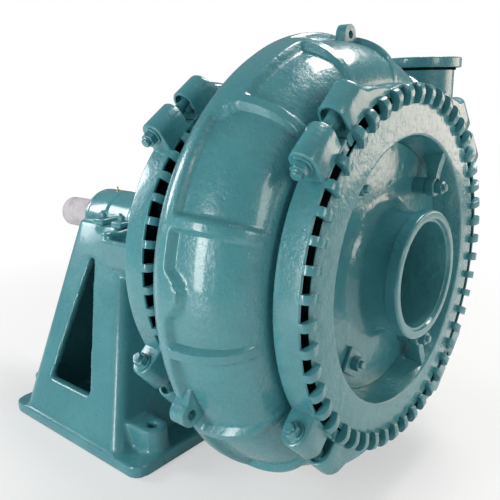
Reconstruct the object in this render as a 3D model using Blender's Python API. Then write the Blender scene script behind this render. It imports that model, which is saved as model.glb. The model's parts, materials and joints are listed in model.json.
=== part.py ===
"""Horizontal slurry pump on a one-piece pedestal. Metres, +Z up, suction toward +X, origin under the shaft axis."""

import math

import bmesh
import bpy

for old in list(bpy.data.objects):
    bpy.data.objects.remove(old, do_unlink=True)

# Places that the whole pump follows. Stations along the shaft are measured from the casing's mid-plane.
SHAFT_HEIGHT = 0.672
CASING_MID_X = 0.696
GAP = 0.0003
OVERRUN = 0.010
LARGE_SIDES = 32
SHAFT_SIDES = 16
DISCHARGE_SIDES = 24
SMALL_SIDES = 12
BOLT_SIDES = 8
HEX_SIDES = 6

# Base plate and pedestal
BASE_LENGTH = 0.730
BASE_WIDTH = 0.956
BASE_THICKNESS = 0.040
BASE_CORNER_R = 0.045
PEDESTAL_REAR_X = -0.993
PEDESTAL_FOOT_FRONT_X = -0.441
PEDESTAL_TOP_FRONT_X = -0.711
PEDESTAL_FOOT_HALF_WIDTH = 0.468
PEDESTAL_TOP_HALF_WIDTH = 0.162
RAIL_TOP = 0.020
RAIL_DEPTH = 0.036
PEDESTAL_WALL = 0.030
PEDESTAL_CORNER_R = 0.035
WINDOW_REAR_X = -0.888
WINDOW_TOP_REAR_X = -0.853
WINDOW_TOP_FRONT_X = -0.830
WINDOW_FRONT_X = -0.646
WINDOW_BOTTOM = -0.515
WINDOW_TOP = -0.095
WINDOW_CORNER_R = 0.022
ANCHOR_INSET_X = 0.063
ANCHOR_REAR_INSET_X = 0.050
ANCHOR_Y = 0.349
ANCHOR_BOSS_R = 0.048
ANCHOR_BOSS_HEIGHT = 0.080
ANCHOR_HOLE_R = 0.017
ANCHOR_WEB_LENGTH = 0.085

# Trough and ring flange that carry the wet end
TROUGH_OUTER_R = 0.260
TROUGH_WALL = 0.025
DIAPHRAGM_X = -0.735
DIAPHRAGM_THICKNESS = 0.030
DIAPHRAGM_LEAN = 5.0
FRAME_RING_THICKNESS = 0.030
FRAME_RING_OUTER_R = 0.345
FRAME_RING_INNER_R = 0.230
GUSSET_THICKNESS = 0.026
SIDE_GUSSET_Y = 0.190
GUSSET_REACH = 0.235
GUSSET_DROP = 0.090

# Clamp rings
CLAMP_R = 0.490
CLAMP_WIDTH = 0.072
CLAMP_WALL = 0.008
CLAMP_LIP_R = 0.440
CLAW_BACK_X = 0.0026
CLAW_TIP_X = 0.020
CLAW_NOSE_X = 0.024
CLAW_CREST_X = 0.016
CLAW_CREST_DROP = 0.003
CLAW_NOSE_DROP = 0.022
CLAW_TIP_R = 0.432
CLAW_HEEL_R = 0.4305
CLAW_ROOT_R = 0.4585
CLAW_ANGLE = 2.8
CLAW_PITCH = 8.0
CLAWS_PER_SEGMENT = 10
SPLIT_ANGLE = 5.0
FRONT_SPLITS = (41.0, 130.0, 224.0, 312.0)
REAR_SPLITS = (35.0, 124.0, 219.5, 307.0)
LUG_WIDTH = 0.070
LUG_RISE = 0.035
LUG_START = 0.022
LUG_LENGTH = 0.095
LUG_WALL = 0.008
LUG_END_WALL = 0.014
LUG_SINK = 0.004
LUG_ARC_STEPS = 4
TAIL_START = 0.060
TAIL_END = 0.215
ROD_R = 0.010
ROD_BLIND_DEPTH = 0.028
ROD_PROUD = 0.014
CLAMP_WASHER_R = 0.022
CLAMP_WASHER_THICKNESS = 0.004
CLAMP_NUT_FLATS = 0.030
CLAMP_NUT_HEIGHT = 0.016

# Casing
FLANGE_R = 0.456
CASING_BORE_R = 0.400
FRONT_FLANGE_X = 0.252
FRONT_GROOVE_X = 0.2253
FRONT_SHOULDER_X = 0.205
FRONT_GROOVE_R = 0.436
REAR_FLANGE_X = -0.252
REAR_GROOVE_X = -0.2147
REAR_SHOULDER_X = -0.186
REAR_GROOVE_R = 0.427
VOLUTE_R = 0.605
VOLUTE_GROWTH = 0.095
SHELF_RISE = 0.020
SHELF_EDGE_X = 0.025
SHELF_WALL_RUN = 0.004
CASING_WALL = 0.022
SECTION_POWER = 2.6
REAR_SECTION_POWER = 1.25
CAVITY_HALF_WIDTH = 0.182
RIB_ANGLES = (58.0, 81.5, 106.0, 131.5, 160.3, 188.5, 212.0, 237.0, 262.5, 288.0, 313.5, 339.0)
RIB_ANGLE_WIDTH = 2.8
RIB_FLANK_ANGLE = 0.5
BOSS_ANGLE = 175.0
BOSS_R = 0.056
BOSS_HEIGHT = 0.050
EYE_ANGLE = 204.3
EYE_R = 0.031
EYE_HOLE_R = 0.013
EYE_THICKNESS = 0.045
EYE_X = 0.0175
EYE_PLACE_R = 0.632
EYE_ARM_LENGTH = 0.090
LIFT_ANGLE = 86.0
LIFT_R = 0.027
LIFT_HOLE_R = 0.011
LIFT_X = 0.060
LIFT_THICKNESS = 0.030
LIFT_PLACE_R = 0.619

# Discharge
DISCHARGE_X = 0.010
DISCHARGE_Y = 0.600
DISCHARGE_TOP = 0.573
DISCHARGE_RIM_R = 0.142
DISCHARGE_RIM_HEIGHT = 0.032
DISCHARGE_GROOVE_HEIGHT = 0.008
DISCHARGE_GROOVE_R = 0.125
DISCHARGE_NECK_R = 0.120
DISCHARGE_BORE_R = 0.1015
NECK_TAPER = 0.002
FLARE_TOP = 0.470
FLARE_BOTTOM = 0.020
FLARE_REACH = 0.180
FLARE_DEPTH = 0.030

# Front cover and suction liner
COVER_FACE_X = 0.2913
COVER_LIP_X = 0.296
COVER_LIP_R = 0.372
LINER_SEAT_R = 0.343
LINER_HUB_X = 0.218
LINER_SHOULDER_X = 0.196
COVER_BORE_CLEARANCE = 0.0005
SUCTION_BORE_R = 0.127
SUCTION_END_X = 0.351
SUCTION_BORE_END_X = 0.325
SUCTION_PIPE_R = 0.152
SUCTION_RIM_R = 0.170
SUCTION_NECK_R = 0.160
SUCTION_RIM_LENGTH = 0.033
SUCTION_ROOT_R = 0.190
SUCTION_FLARE_X = 0.228
SUCTION_FLARE_R = 0.165
SUCTION_PIPE_X = 0.245
LINER_FACE_X = 0.150
STUD_CIRCLE_R = 0.275
STUD_R = 0.010
STUD_BLIND_DEPTH = 0.028
STUD_NUT_FLATS = 0.030
STUD_NUT_HEIGHT = 0.018
STUD_PROUD = 0.010
ARM_ANGLES = (48.0, 300.0)
NUT_STUD_ANGLE = 120.0
PLATE_STUD_ANGLE = 235.0
ARM_X = 0.260
ARM_THICKNESS = 0.022
ARM_EYE_R = 0.026
ARM_HALF_WIDTH = 0.020
ARM_FOOT_HALF_WIDTH = 0.037
ARM_FOOT_R = 0.382
ARM_NECK_R = 0.335
SPACER_R = 0.022
PLATE_SIDE = 0.070
PLATE_THICKNESS = 0.012

# Frame plate, rear liner and stuffing box
FRAME_PLATE_REAR_X = -0.2807
PLATE_FRONT_X = -0.200
PLATE_WEB_X = -0.232
PLATE_RIM_R = 0.388
STUFFING_R = 0.110
PLATE_HUB_R = 0.142
REAR_LINER_FACE_X = -0.150
REAR_LINER_BORE_R = 0.075
STUFFING_REAR_X = -0.345
STUFFING_FLANGE_R = 0.138
STUFFING_FLANGE_THICKNESS = 0.016
STUFFING_BORE_R = 0.0855
STUFFING_THROAT_X = -0.225
STUFFING_THROAT_R = 0.072
PACKING_WIDTH = 0.0165
LANTERN_WIDTH = 0.020
REAR_PACKING_WIDTH = 0.033
GLAND_FLANGE_R = 0.120
GLAND_FLANGE_THICKNESS = 0.020
GLAND_CLEAR = 0.008
GLAND_STUD_R = 0.007
GLAND_STUD_CIRCLE_R = 0.098
GLAND_STUD_DEPTH = 0.028
GLAND_STUD_PROUD = 0.040
GLAND_NUT_FLATS = 0.024
GLAND_NUT_HEIGHT = 0.012

# Rotor
IMPELLER_R = 0.330
IMPELLER_HALF_WIDTH = 0.145
SHROUD_THICKNESS = 0.024
IMPELLER_EYE_R = 0.127
HUB_R = 0.090
HUB_NOSE_X = -0.015
HUB_NOSE_R = 0.030
THREAD_R = 0.045
THREAD_END_X = -0.045
VANE_COUNT = 4
VANE_THICKNESS = 0.028
VANE_START_R = 0.115
VANE_END_R = 0.322
VANE_WRAP = 95.0
VANE_STEPS = 5
SHAFT_END_X = -1.259
SHAFT_END_R = 0.060
SHAFT_CHAMFER = 0.004
BEARING_SEAT_R = 0.065
SHAFT_BODY_R = 0.070
SHAFT_NECK_R = 0.0625
SLEEVE_SEAT_R = 0.056
SLEEVE_R = 0.0675
SLEEVE_LENGTH = 0.2745
DRIVE_SEAT_X = -1.020
PUMP_SEAT_X = -0.556

# Bearings and their housing
HOUSING_REAR_X = -0.995
HOUSING_FRONT_X = -0.585
HOUSING_R = 0.115
HOUSING_WAIST = 0.006
HOUSING_WAIST_REAR_X = -0.895
HOUSING_WAIST_FRONT_X = -0.757
BEARING_POCKET_R = 0.0925
HOUSING_INNER_R = 0.086
BEARING_WIDTH = 0.050
DRIVE_BEARING_X = -0.940
PUMP_BEARING_X = -0.640
ROLLER_PITCH_R = 0.0785
ROLLER_R = 0.0065
ROLLER_LENGTH = 0.036
ROLLER_COUNT = 8
CAGE_WIDTH = 0.004
CAGE_CLEARANCE = 0.002
END_COVER_THICKNESS = 0.017
END_COVER_SPIGOT_R = 0.0832
LABYRINTH_R = 0.0715
LABYRINTH_CLEARANCE = 0.0006
LOCK_NUT_R = 0.078
LOCK_NUT_WIDTH = 0.016
SLIDE_TRAVEL = 0.005

# Feet, clamp studs and adjusting screw of the housing
FOOT_THICKNESS = 0.022
FOOT_HALF_LENGTH = 0.028
FOOT_ROOT_Y = 0.094
FOOT_OUTER_Y = 0.177
FOOT_STUD_Y = 0.149
REAR_FOOT_X = -0.843
FRONT_FOOT_X = -0.737
FOOT_BOSS_R = 0.026
FOOT_BOSS_DEPTH = 0.080
FOOT_STUD_R = 0.008
FOOT_STUD_DEPTH = 0.050
FOOT_STUD_PROUD = 0.009
FOOT_WASHER_R = 0.016
FOOT_WASHER_THICKNESS = 0.003
FOOT_NUT_FLATS = 0.024
FOOT_NUT_HEIGHT = 0.015
ADJUST_Z = -0.140
ADJUST_R = 0.008
ADJUST_HEAD_FLATS = 0.024
ADJUST_HEAD = 0.015
ADJUST_END_X = -0.850
ADJUST_NUT = 0.013
ADJUST_LUG_X = -0.900
ADJUST_LUG_THICKNESS = 0.025
ADJUST_LUG_HALF_WIDTH = 0.025
ADJUST_LUG_DROP = 0.025
ADJUST_LUG_ROOT = 0.095

# Shares of the sizes that they follow
GROWTH_ANGLES_SHARES = (
    (0.0, 1.0),
    (30.0, 0.0),
    (60.0, -0.10),
    (90.0, 0.0),
    (200.0, 0.0),
    (240.0, 0.10),
    (270.0, 0.12),
    (288.0, 0.30),
    (315.0, 0.55),
    (360.0, 1.0),
)
REAR_SECTION_SHARES = (0.97, 0.82, 0.50)
FRONT_SECTION_SHARES = (0.52, 0.82, 0.96)
CAVITY_SECTION_SHARES = (-0.94, -0.70, -0.25, 0.25, 0.70, 0.94)
FLARE_SHARES = ((0.0, 0.0), (0.10, 0.22), (0.20, 0.48), (0.33, 0.74), (0.62, 0.92), (1.0, 1.0))

# Colours as linear values
TEAL = (0.105, 0.330, 0.370, 1.0)
DARK_TEAL = (0.070, 0.240, 0.275, 1.0)
LIGHT_TEAL = (0.140, 0.400, 0.440, 1.0)
STEEL = (0.480, 0.480, 0.470, 1.0)
WHITE_IRON = (0.300, 0.300, 0.290, 1.0)
BRASS = (0.560, 0.400, 0.130, 1.0)
PACKING = (0.420, 0.360, 0.250, 1.0)

SHAFT_ORIGIN = (CASING_MID_X, 0.0, SHAFT_HEIGHT)


def circumscribed(radius, sides):
    """Corner radius of a polygon whose flats touch a circle of this radius, for bores that a round piece turns in."""
    return radius / math.cos(math.pi / sides)


def hex_radius(flats):
    """Corner radius of a hexagon from its width across flats."""
    return circumscribed(flats / 2, HEX_SIDES)


def place(along, first, second, axis, centre):
    """A point given along an axis and across it, moved to a centre."""
    if axis == "X":
        point = (along, first, second)
    elif axis == "Y":
        point = (first, along, second)
    else:
        point = (first, second, along)
    return tuple(value + offset for value, offset in zip(point, centre))


def lathe(profile, sides, axis="X", centre=(0.0, 0.0, 0.0)):
    """Solid turned from a closed loop of (along, radius). A loop may touch the axis."""
    points = []
    rows = []
    for along, radius in profile:
        if radius == 0.0:
            rows.append([len(points)] * sides)
            points.append(place(along, 0.0, 0.0, axis, centre))
            continue
        rows.append(list(range(len(points), len(points) + sides)))
        for index in range(sides):
            angle = 2 * math.pi * index / sides
            points.append(place(along, radius * math.cos(angle), radius * math.sin(angle), axis, centre))
    return points, skin(rows, True)


def skin(rows, closed):
    """Faces between neighbouring rows of point numbers, each row a closed ring."""
    faces = []
    pairs = list(zip(rows, rows[1:]))
    if closed:
        pairs.append((rows[-1], rows[0]))
    for row, after in pairs:
        for index in range(len(row)):
            other = (index + 1) % len(row)
            corners = list(dict.fromkeys((row[index], row[other], after[other], after[index])))
            if len(corners) > 2:
                faces.append(corners)
    return faces


def loft(rings):
    """Solid through equal rings of points, with a face on its first and its last ring."""
    count = len(rings[0])
    points = [point for ring in rings for point in ring]
    rows = [list(range(start, start + count)) for start in range(0, len(points), count)]
    return points, skin(rows, False) + [rows[0], rows[-1]]


def prism(outline, low, high, axis):
    """Solid from a flat outline, drawn out along an axis."""
    centre = (0.0, 0.0, 0.0)
    return loft([[place(along, first, second, axis, centre) for first, second in outline] for along in (low, high)])


def box(low_corner, high_corner):
    """Block between two corners."""
    outline = [
        (low_corner[1], low_corner[2]),
        (high_corner[1], low_corner[2]),
        (high_corner[1], high_corner[2]),
        (low_corner[1], high_corner[2]),
    ]
    return prism(outline, low_corner[0], high_corner[0], "X")


def swept(profile, angles):
    """Solid from a loop of (along, radius), carried round the shaft axis through the given angles."""
    rings = []
    for angle in angles:
        turn = math.radians(angle)
        rings.append([(along, radius * math.cos(turn), radius * math.sin(turn)) for along, radius in profile])
    return loft(rings)


def turned(shape, angle):
    """A shape built at the +Y side, carried round the shaft axis."""
    points, faces = shape
    cosine = math.cos(math.radians(angle))
    sine = math.sin(math.radians(angle))
    moved = [(x, y * cosine - z * sine, y * sine + z * cosine) for x, y, z in points]
    return moved, faces


def rounded(outline, radius, steps=3):
    """Outline with each corner replaced by an arc."""
    result = []
    count = len(outline)
    for index, corner in enumerate(outline):
        before = outline[index - 1]
        after = outline[(index + 1) % count]
        to_before = math.atan2(before[1] - corner[1], before[0] - corner[0])
        to_after = math.atan2(after[1] - corner[1], after[0] - corner[0])
        opening = (to_after - to_before + math.pi) % (2 * math.pi) - math.pi
        middle = to_before + opening / 2
        half = abs(opening) / 2
        centre_x = corner[0] + radius / math.sin(half) * math.cos(middle)
        centre_y = corner[1] + radius / math.sin(half) * math.sin(middle)
        sweep = math.pi - 2 * half
        start = middle + math.pi + math.copysign(sweep / 2, opening)
        for step in range(steps + 1):
            angle = start - math.copysign(sweep * step / steps, opening)
            result.append((centre_x + radius * math.cos(angle), centre_y + radius * math.sin(angle)))
    return result


def rectangle(low_first, high_first, low_second, high_second):
    """Corners of a rectangle, counter-clockwise."""
    return [
        (low_first, low_second),
        (high_first, low_second),
        (high_first, high_second),
        (low_first, high_second),
    ]


def material(name, colour, metallic, roughness):
    """Own Principled material of one piece."""
    made = bpy.data.materials.new(name)
    made.use_nodes = True
    shader = made.node_tree.nodes["Principled BSDF"]
    shader.inputs["Base Color"].default_value = colour
    shader.inputs["Metallic"].default_value = metallic
    shader.inputs["Roughness"].default_value = roughness
    made.diffuse_color = colour
    return made


def add_mesh(name, shapes, origin=SHAFT_ORIGIN):
    """Object from closed shapes, given in the frame of its origin, with its faces turned outward."""
    points = []
    faces = []
    for shape_points, shape_faces in shapes:
        start = len(points)
        points.extend(shape_points)
        faces.extend([[start + corner for corner in face] for face in shape_faces])
    mesh = bpy.data.meshes.new(name)
    mesh.from_pydata(points, [], faces)
    work = bmesh.new()
    work.from_mesh(mesh)
    bmesh.ops.recalc_face_normals(work, faces=work.faces)
    work.to_mesh(mesh)
    work.free()
    mesh.polygons.foreach_set("use_smooth", [True] * len(mesh.polygons))
    mesh.set_sharp_from_angle(angle=math.radians(32.0))
    made = bpy.data.objects.new(name, mesh)
    made.location = origin
    bpy.context.scene.collection.objects.link(made)
    return made


def add_piece(name, shapes, colour=TEAL, metallic=0.0, roughness=0.28, origin=SHAFT_ORIGIN):
    """Visible sub-part with its own material."""
    made = add_mesh(name, shapes, origin)
    made.data.materials.append(material(name, colour, metallic, roughness))
    return made


def combine(target, operation, label, shapes):
    """Joins shapes to a piece, or cuts them from it, with an exact Boolean and a hidden helper."""
    helper = add_mesh(f"{target.name}_{label}", shapes, target.location)
    helper.hide_render = True
    helper.display_type = "WIRE"
    step = target.modifiers.new(label, "BOOLEAN")
    step.operation = operation
    step.solver = "EXACT"
    step.object = helper


def ring_profile(start, end, inner, outer):
    """Loop of a plain ring."""
    return [(start, inner), (start, outer), (end, outer), (end, inner)]


def rod_profile(start, end, radius):
    """Loop of a plain round bar."""
    return [(start, 0.0), (start, radius), (end, radius), (end, 0.0)]


def hex_nut(start, end, flats, hole_radius, axis, centre):
    """Nut with a hexagonal bore whose flats clear the stud."""
    hole = circumscribed(hole_radius, HEX_SIDES)
    return lathe(ring_profile(start, end, hole, hex_radius(flats)), HEX_SIDES, axis, centre)


def add_base_frame():
    """One casting: base plate, hollow pedestal, anchor bosses, trough, ring flange and gussets."""
    base_x = -CASING_MID_X
    floor = -SHAFT_HEIGHT
    base_top = floor + BASE_THICKNESS
    outline = rounded(
        rectangle(base_x - BASE_LENGTH / 2, base_x + BASE_LENGTH / 2, -BASE_WIDTH / 2, BASE_WIDTH / 2), BASE_CORNER_R
    )
    frame = add_piece("base_frame", [prism(outline, floor, base_top, "Z")])
    slope_x = (PEDESTAL_FOOT_FRONT_X - PEDESTAL_TOP_FRONT_X) / (RAIL_TOP - base_top)
    slope_y = (PEDESTAL_FOOT_HALF_WIDTH - PEDESTAL_TOP_HALF_WIDTH) / (RAIL_TOP - base_top)

    def pedestal_ring(height, wall, corner):
        drop = RAIL_TOP - height
        front = PEDESTAL_TOP_FRONT_X + slope_x * drop - wall
        half = PEDESTAL_TOP_HALF_WIDTH + slope_y * drop - wall
        ring = rounded(rectangle(PEDESTAL_REAR_X + wall, front, -half, half), corner)
        return [(x, y, height) for x, y in ring]

    outer_low = base_top - BASE_THICKNESS / 2
    pedestal = loft([pedestal_ring(outer_low, 0.0, PEDESTAL_CORNER_R), pedestal_ring(RAIL_TOP, 0.0, PEDESTAL_CORNER_R)])
    combine(frame, "UNION", "pedestal", [pedestal])

    bosses = []
    boss_top = base_top + ANCHOR_BOSS_HEIGHT
    front_x = base_x + BASE_LENGTH / 2 - ANCHOR_INSET_X
    rear_x = base_x - BASE_LENGTH / 2 + ANCHOR_REAR_INSET_X
    for side in (-1, 1):
        y = side * ANCHOR_Y
        for x, reach in ((front_x, -ANCHOR_WEB_LENGTH), (rear_x, ANCHOR_BOSS_R)):
            end = x + reach
            direction = math.copysign(math.pi / 2, reach)
            outline = []
            for step in range(SMALL_SIDES // 2 + 1):
                angle = direction + math.pi * step / (SMALL_SIDES // 2)
                outline.append((x + ANCHOR_BOSS_R * math.cos(angle), y + ANCHOR_BOSS_R * math.sin(angle)))
            outline.append((end, outline[-1][1]))
            outline.append((end, outline[0][1]))
            bosses.append(prism(outline, outer_low, boss_top, "Z"))
    combine(frame, "UNION", "anchor_bosses", bosses)

    trough_inner = TROUGH_OUTER_R - TROUGH_WALL
    ring_front = FRAME_PLATE_REAR_X - GAP
    ring_rear = ring_front - FRAME_RING_THICKNESS
    half_turn = [180.0 + 360.0 * step / SHAFT_SIDES for step in range(SHAFT_SIDES // 2 + 1)]
    wide_turn = [180.0 - DIAPHRAGM_LEAN] + half_turn[1:-1] + [360.0 + DIAPHRAGM_LEAN]
    trough_loop = ring_profile(
        DIAPHRAGM_X + DIAPHRAGM_THICKNESS / 2, ring_front - FRAME_RING_THICKNESS / 2, trough_inner, TROUGH_OUTER_R
    )
    combine(frame, "UNION", "trough", [swept(trough_loop, half_turn)])
    diaphragm_loop = ring_profile(
        DIAPHRAGM_X,
        DIAPHRAGM_X + DIAPHRAGM_THICKNESS,
        HOUSING_R - TROUGH_WALL,
        TROUGH_OUTER_R - TROUGH_WALL / 2,
    )
    combine(frame, "UNION", "diaphragm", [swept(diaphragm_loop, wide_turn)])
    flange = lathe(ring_profile(ring_rear, ring_front, FRAME_RING_INNER_R, FRAME_RING_OUTER_R), LARGE_SIDES)
    combine(frame, "UNION", "ring_flange", [flange])

    gussets = []
    for y in (-SIDE_GUSSET_Y, 0.0, SIDE_GUSSET_Y):
        top = -math.sqrt((TROUGH_OUTER_R - TROUGH_WALL / 2) ** 2 - y * y)
        flange_x = ring_front - FRAME_RING_THICKNESS / 2
        low = top - GUSSET_DROP
        foot = low - GUSSET_REACH + TROUGH_WALL * 2
        wall_top_x = PEDESTAL_TOP_FRONT_X + slope_x * (RAIL_TOP - top) - PEDESTAL_WALL / 2
        wall_foot_x = PEDESTAL_TOP_FRONT_X + slope_x * (RAIL_TOP - foot) - PEDESTAL_WALL / 2
        outline = [(flange_x, top), (flange_x, low), (wall_foot_x, foot), (wall_top_x, top)]
        points, faces = prism(outline, y - GUSSET_THICKNESS / 2, y + GUSSET_THICKNESS / 2, "Y")
        gussets.append((points, faces))
    combine(frame, "UNION", "gussets", gussets)

    stud_bosses = []
    for x in (REAR_FOOT_X, FRONT_FOOT_X):
        for side in (-1, 1):
            stud_bosses.append(
                lathe(
                    rod_profile(RAIL_TOP - FOOT_BOSS_DEPTH, RAIL_TOP - GAP, FOOT_BOSS_R),
                    SMALL_SIDES,
                    "Z",
                    (x, side * FOOT_STUD_Y, 0.0),
                )
            )
    combine(frame, "UNION", "stud_bosses", stud_bosses)

    cavity = loft(
        [
            pedestal_ring(base_top, PEDESTAL_WALL, PEDESTAL_CORNER_R - PEDESTAL_WALL / 2),
            pedestal_ring(RAIL_TOP - RAIL_DEPTH, PEDESTAL_WALL, PEDESTAL_CORNER_R - PEDESTAL_WALL / 2),
        ]
    )
    combine(frame, "DIFFERENCE", "cavity", [cavity])
    window = rounded(
        [
            (WINDOW_REAR_X, WINDOW_BOTTOM),
            (WINDOW_FRONT_X, WINDOW_BOTTOM),
            (WINDOW_TOP_FRONT_X, WINDOW_TOP),
            (WINDOW_TOP_REAR_X, WINDOW_TOP),
        ],
        WINDOW_CORNER_R / 2,
        2,
    )
    windows = prism(window, -BASE_WIDTH, BASE_WIDTH, "Y")
    combine(frame, "DIFFERENCE", "windows", [windows])
    cradle = lathe(
        rod_profile(PEDESTAL_REAR_X - OVERRUN, HOUSING_FRONT_X + OVERRUN, HOUSING_R + GAP),
        SHAFT_SIDES,
    )
    combine(frame, "DIFFERENCE", "cradle", [cradle])

    holes = []
    for side in (-1, 1):
        for x in (front_x, rear_x):
            loop = rod_profile(floor - OVERRUN, boss_top + OVERRUN, ANCHOR_HOLE_R)
            holes.append(lathe(loop, SMALL_SIDES, "Z", (x, side * ANCHOR_Y, 0.0)))
        for x in (REAR_FOOT_X, FRONT_FOOT_X):
            loop = rod_profile(RAIL_TOP - FOOT_STUD_DEPTH - GAP, RAIL_TOP + OVERRUN, FOOT_STUD_R + GAP)
            holes.append(lathe(loop, BOLT_SIDES, "Z", (x, side * FOOT_STUD_Y, 0.0)))
    loop = rod_profile(PEDESTAL_REAR_X - OVERRUN, PEDESTAL_REAR_X + PEDESTAL_WALL + OVERRUN, adjust_bore())
    holes.append(lathe(loop, BOLT_SIDES, "X", (0.0, 0.0, ADJUST_Z)))
    combine(frame, "DIFFERENCE", "holes", holes)


def adjust_bore():
    """Corner radius of the plain bore that the adjusting screw turns in."""
    return circumscribed(ADJUST_R + GAP, BOLT_SIDES)


def clamp_segment(name, face_x, start_split, end_split, has_pockets):
    """One cast segment of a clamp ring: band with its lip, claws, and a lug at both ends."""
    start = start_split + SPLIT_ANGLE / 2
    end = end_split - SPLIT_ANGLE / 2
    middle = (start + end) / 2
    first = middle - CLAW_PITCH * (CLAWS_PER_SEGMENT - 1) / 2
    lip_x = face_x - CLAMP_WIDTH + CLAMP_WALL
    inner = CLAMP_R - CLAMP_WALL
    band = [
        (face_x, CLAMP_R),
        (face_x - CLAMP_WIDTH, CLAMP_R),
        (face_x - CLAMP_WIDTH, CLAMP_LIP_R),
        (lip_x, CLAMP_LIP_R),
        (lip_x, inner),
        (face_x, inner),
    ]
    claw = [
        (face_x + CLAW_BACK_X, CLAW_ROOT_R),
        (face_x + CLAW_BACK_X, CLAW_HEEL_R),
        (face_x + CLAW_TIP_X, CLAW_TIP_R),
        (face_x + CLAW_NOSE_X, CLAMP_R - CLAW_NOSE_DROP),
        (face_x + CLAW_CREST_X, CLAMP_R - CLAW_CREST_DROP),
    ]
    stations = [(start, False)]
    for index in range(CLAWS_PER_SEGMENT):
        centre = first + CLAW_PITCH * index
        stations.append((centre - CLAW_ANGLE / 2, True))
        stations.append((centre + CLAW_ANGLE / 2, False))
    stations.append((end, False))
    points = []
    band_rows = []
    claw_rows = []
    for angle, _ in stations:
        cosine = math.cos(math.radians(angle))
        sine = math.sin(math.radians(angle))
        for rows, loop in ((band_rows, band), (claw_rows, claw)):
            rows.append(list(range(len(points), len(points) + len(loop))))
            points.extend([(x, radius * cosine, radius * sine) for x, radius in loop])
    faces = [band_rows[0], band_rows[-1]]
    for index in range(len(stations) - 1):
        row = band_rows[index]
        after = band_rows[index + 1]
        for corner in range(len(band) - 1):
            faces.append([row[corner], row[corner + 1], after[corner + 1], after[corner]])
        if not stations[index][1]:
            faces.append([row[-1], row[0], after[0], after[-1]])
            continue
        outline = [row[-1]] + claw_rows[index] + [row[0]]
        outline_after = [after[-1]] + claw_rows[index + 1] + [after[0]]
        for corner in range(len(outline) - 1):
            faces.append([outline[corner], outline[corner + 1], outline_after[corner + 1], outline_after[corner]])
        faces.append(outline)
        faces.append(outline_after)
    used = sorted({corner for face in faces for corner in face})
    renumbered = {corner: index for index, corner in enumerate(used)}
    shape = ([points[corner] for corner in used], [[renumbered[corner] for corner in face] for face in faces])
    piece = add_piece(name, [shape])

    centre_x = face_x - CLAMP_WIDTH / 2
    lugs = []
    cuts = []
    for split, direction in ((start_split, 1), (end_split, -1)):
        if has_pockets:
            lugs.append(turned(hollow_lug(centre_x, direction), split))
            cuts.append(turned(lug_pocket(centre_x, direction), split))
            depth = LUG_LENGTH + OVERRUN
        else:
            lugs.append(turned(solid_lug(centre_x, direction), split))
            depth = ROD_BLIND_DEPTH + GAP
        bore = circumscribed(ROD_R + GAP, HEX_SIDES)
        loop = rod_profile(direction * (LUG_START - OVERRUN), direction * (LUG_START + depth), bore)
        cuts.append(turned(lathe(loop, HEX_SIDES, "Z", (centre_x, lug_centre(), 0.0)), split))
    combine(piece, "UNION", "lugs", lugs)
    if has_pockets:
        combine(piece, "DIFFERENCE", "pockets", cuts[0::2])
        combine(piece, "DIFFERENCE", "bores", cuts[1::2])
    else:
        combine(piece, "DIFFERENCE", "bores", cuts)


def lug_centre():
    """Height of the clamp rods over the shaft axis, square to the split."""
    return CLAMP_R + LUG_RISE


def lug_arch(centre_x, along, half_width, centre_height, rise, floor):
    """Arched outline of a lug, square to its rod, at one station along the rod."""
    ring = [(centre_x - half_width, floor, along)]
    for step in range(LUG_ARC_STEPS + 1):
        angle = math.pi * step / LUG_ARC_STEPS
        ring.append((centre_x - half_width * math.cos(angle), centre_height + rise * math.sin(angle), along))
    ring.append((centre_x + half_width, floor, along))
    return ring


def band_height(radius, along):
    """Height of a circle round the shaft axis at a distance along the tangent."""
    return math.sqrt(radius * radius - along * along)


def hollow_lug(centre_x, direction):
    """Outer form of the lug that carries washer and nut."""
    rings = []
    for along in (LUG_START, LUG_START + LUG_LENGTH):
        floor = band_height(CLAMP_R - LUG_SINK, along)
        rings.append(lug_arch(centre_x, direction * along, LUG_WIDTH / 2, lug_centre(), LUG_RISE, floor))
    return loft(rings)


def lug_pocket(centre_x, direction):
    """Core of the hollow lug, open at the end that faces the split."""
    rings = []
    start = LUG_START - OVERRUN / 2
    end = LUG_START + LUG_LENGTH - LUG_END_WALL
    half_width = LUG_WIDTH / 2 - LUG_WALL
    for along in (start, end):
        floor = band_height(CLAMP_R + LUG_SINK, along)
        rings.append(lug_arch(centre_x, direction * along, half_width, lug_centre(), LUG_RISE - LUG_WALL, floor))
    return loft(rings)


def solid_lug(centre_x, direction):
    """Solid lug that holds the rod's end, with a tail that runs out on the band."""
    floor_r = CLAMP_R - LUG_SINK
    rings = []
    for along in (LUG_START, TAIL_START):
        floor = band_height(floor_r, along)
        rings.append(lug_arch(centre_x, direction * along, LUG_WIDTH / 2, lug_centre(), LUG_RISE, floor))
    floor = band_height(floor_r, TAIL_END)
    low = floor + GAP
    rings.append(lug_arch(centre_x, direction * TAIL_END, LUG_WIDTH / 2, low, LUG_SINK, floor))
    return loft(rings)


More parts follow.
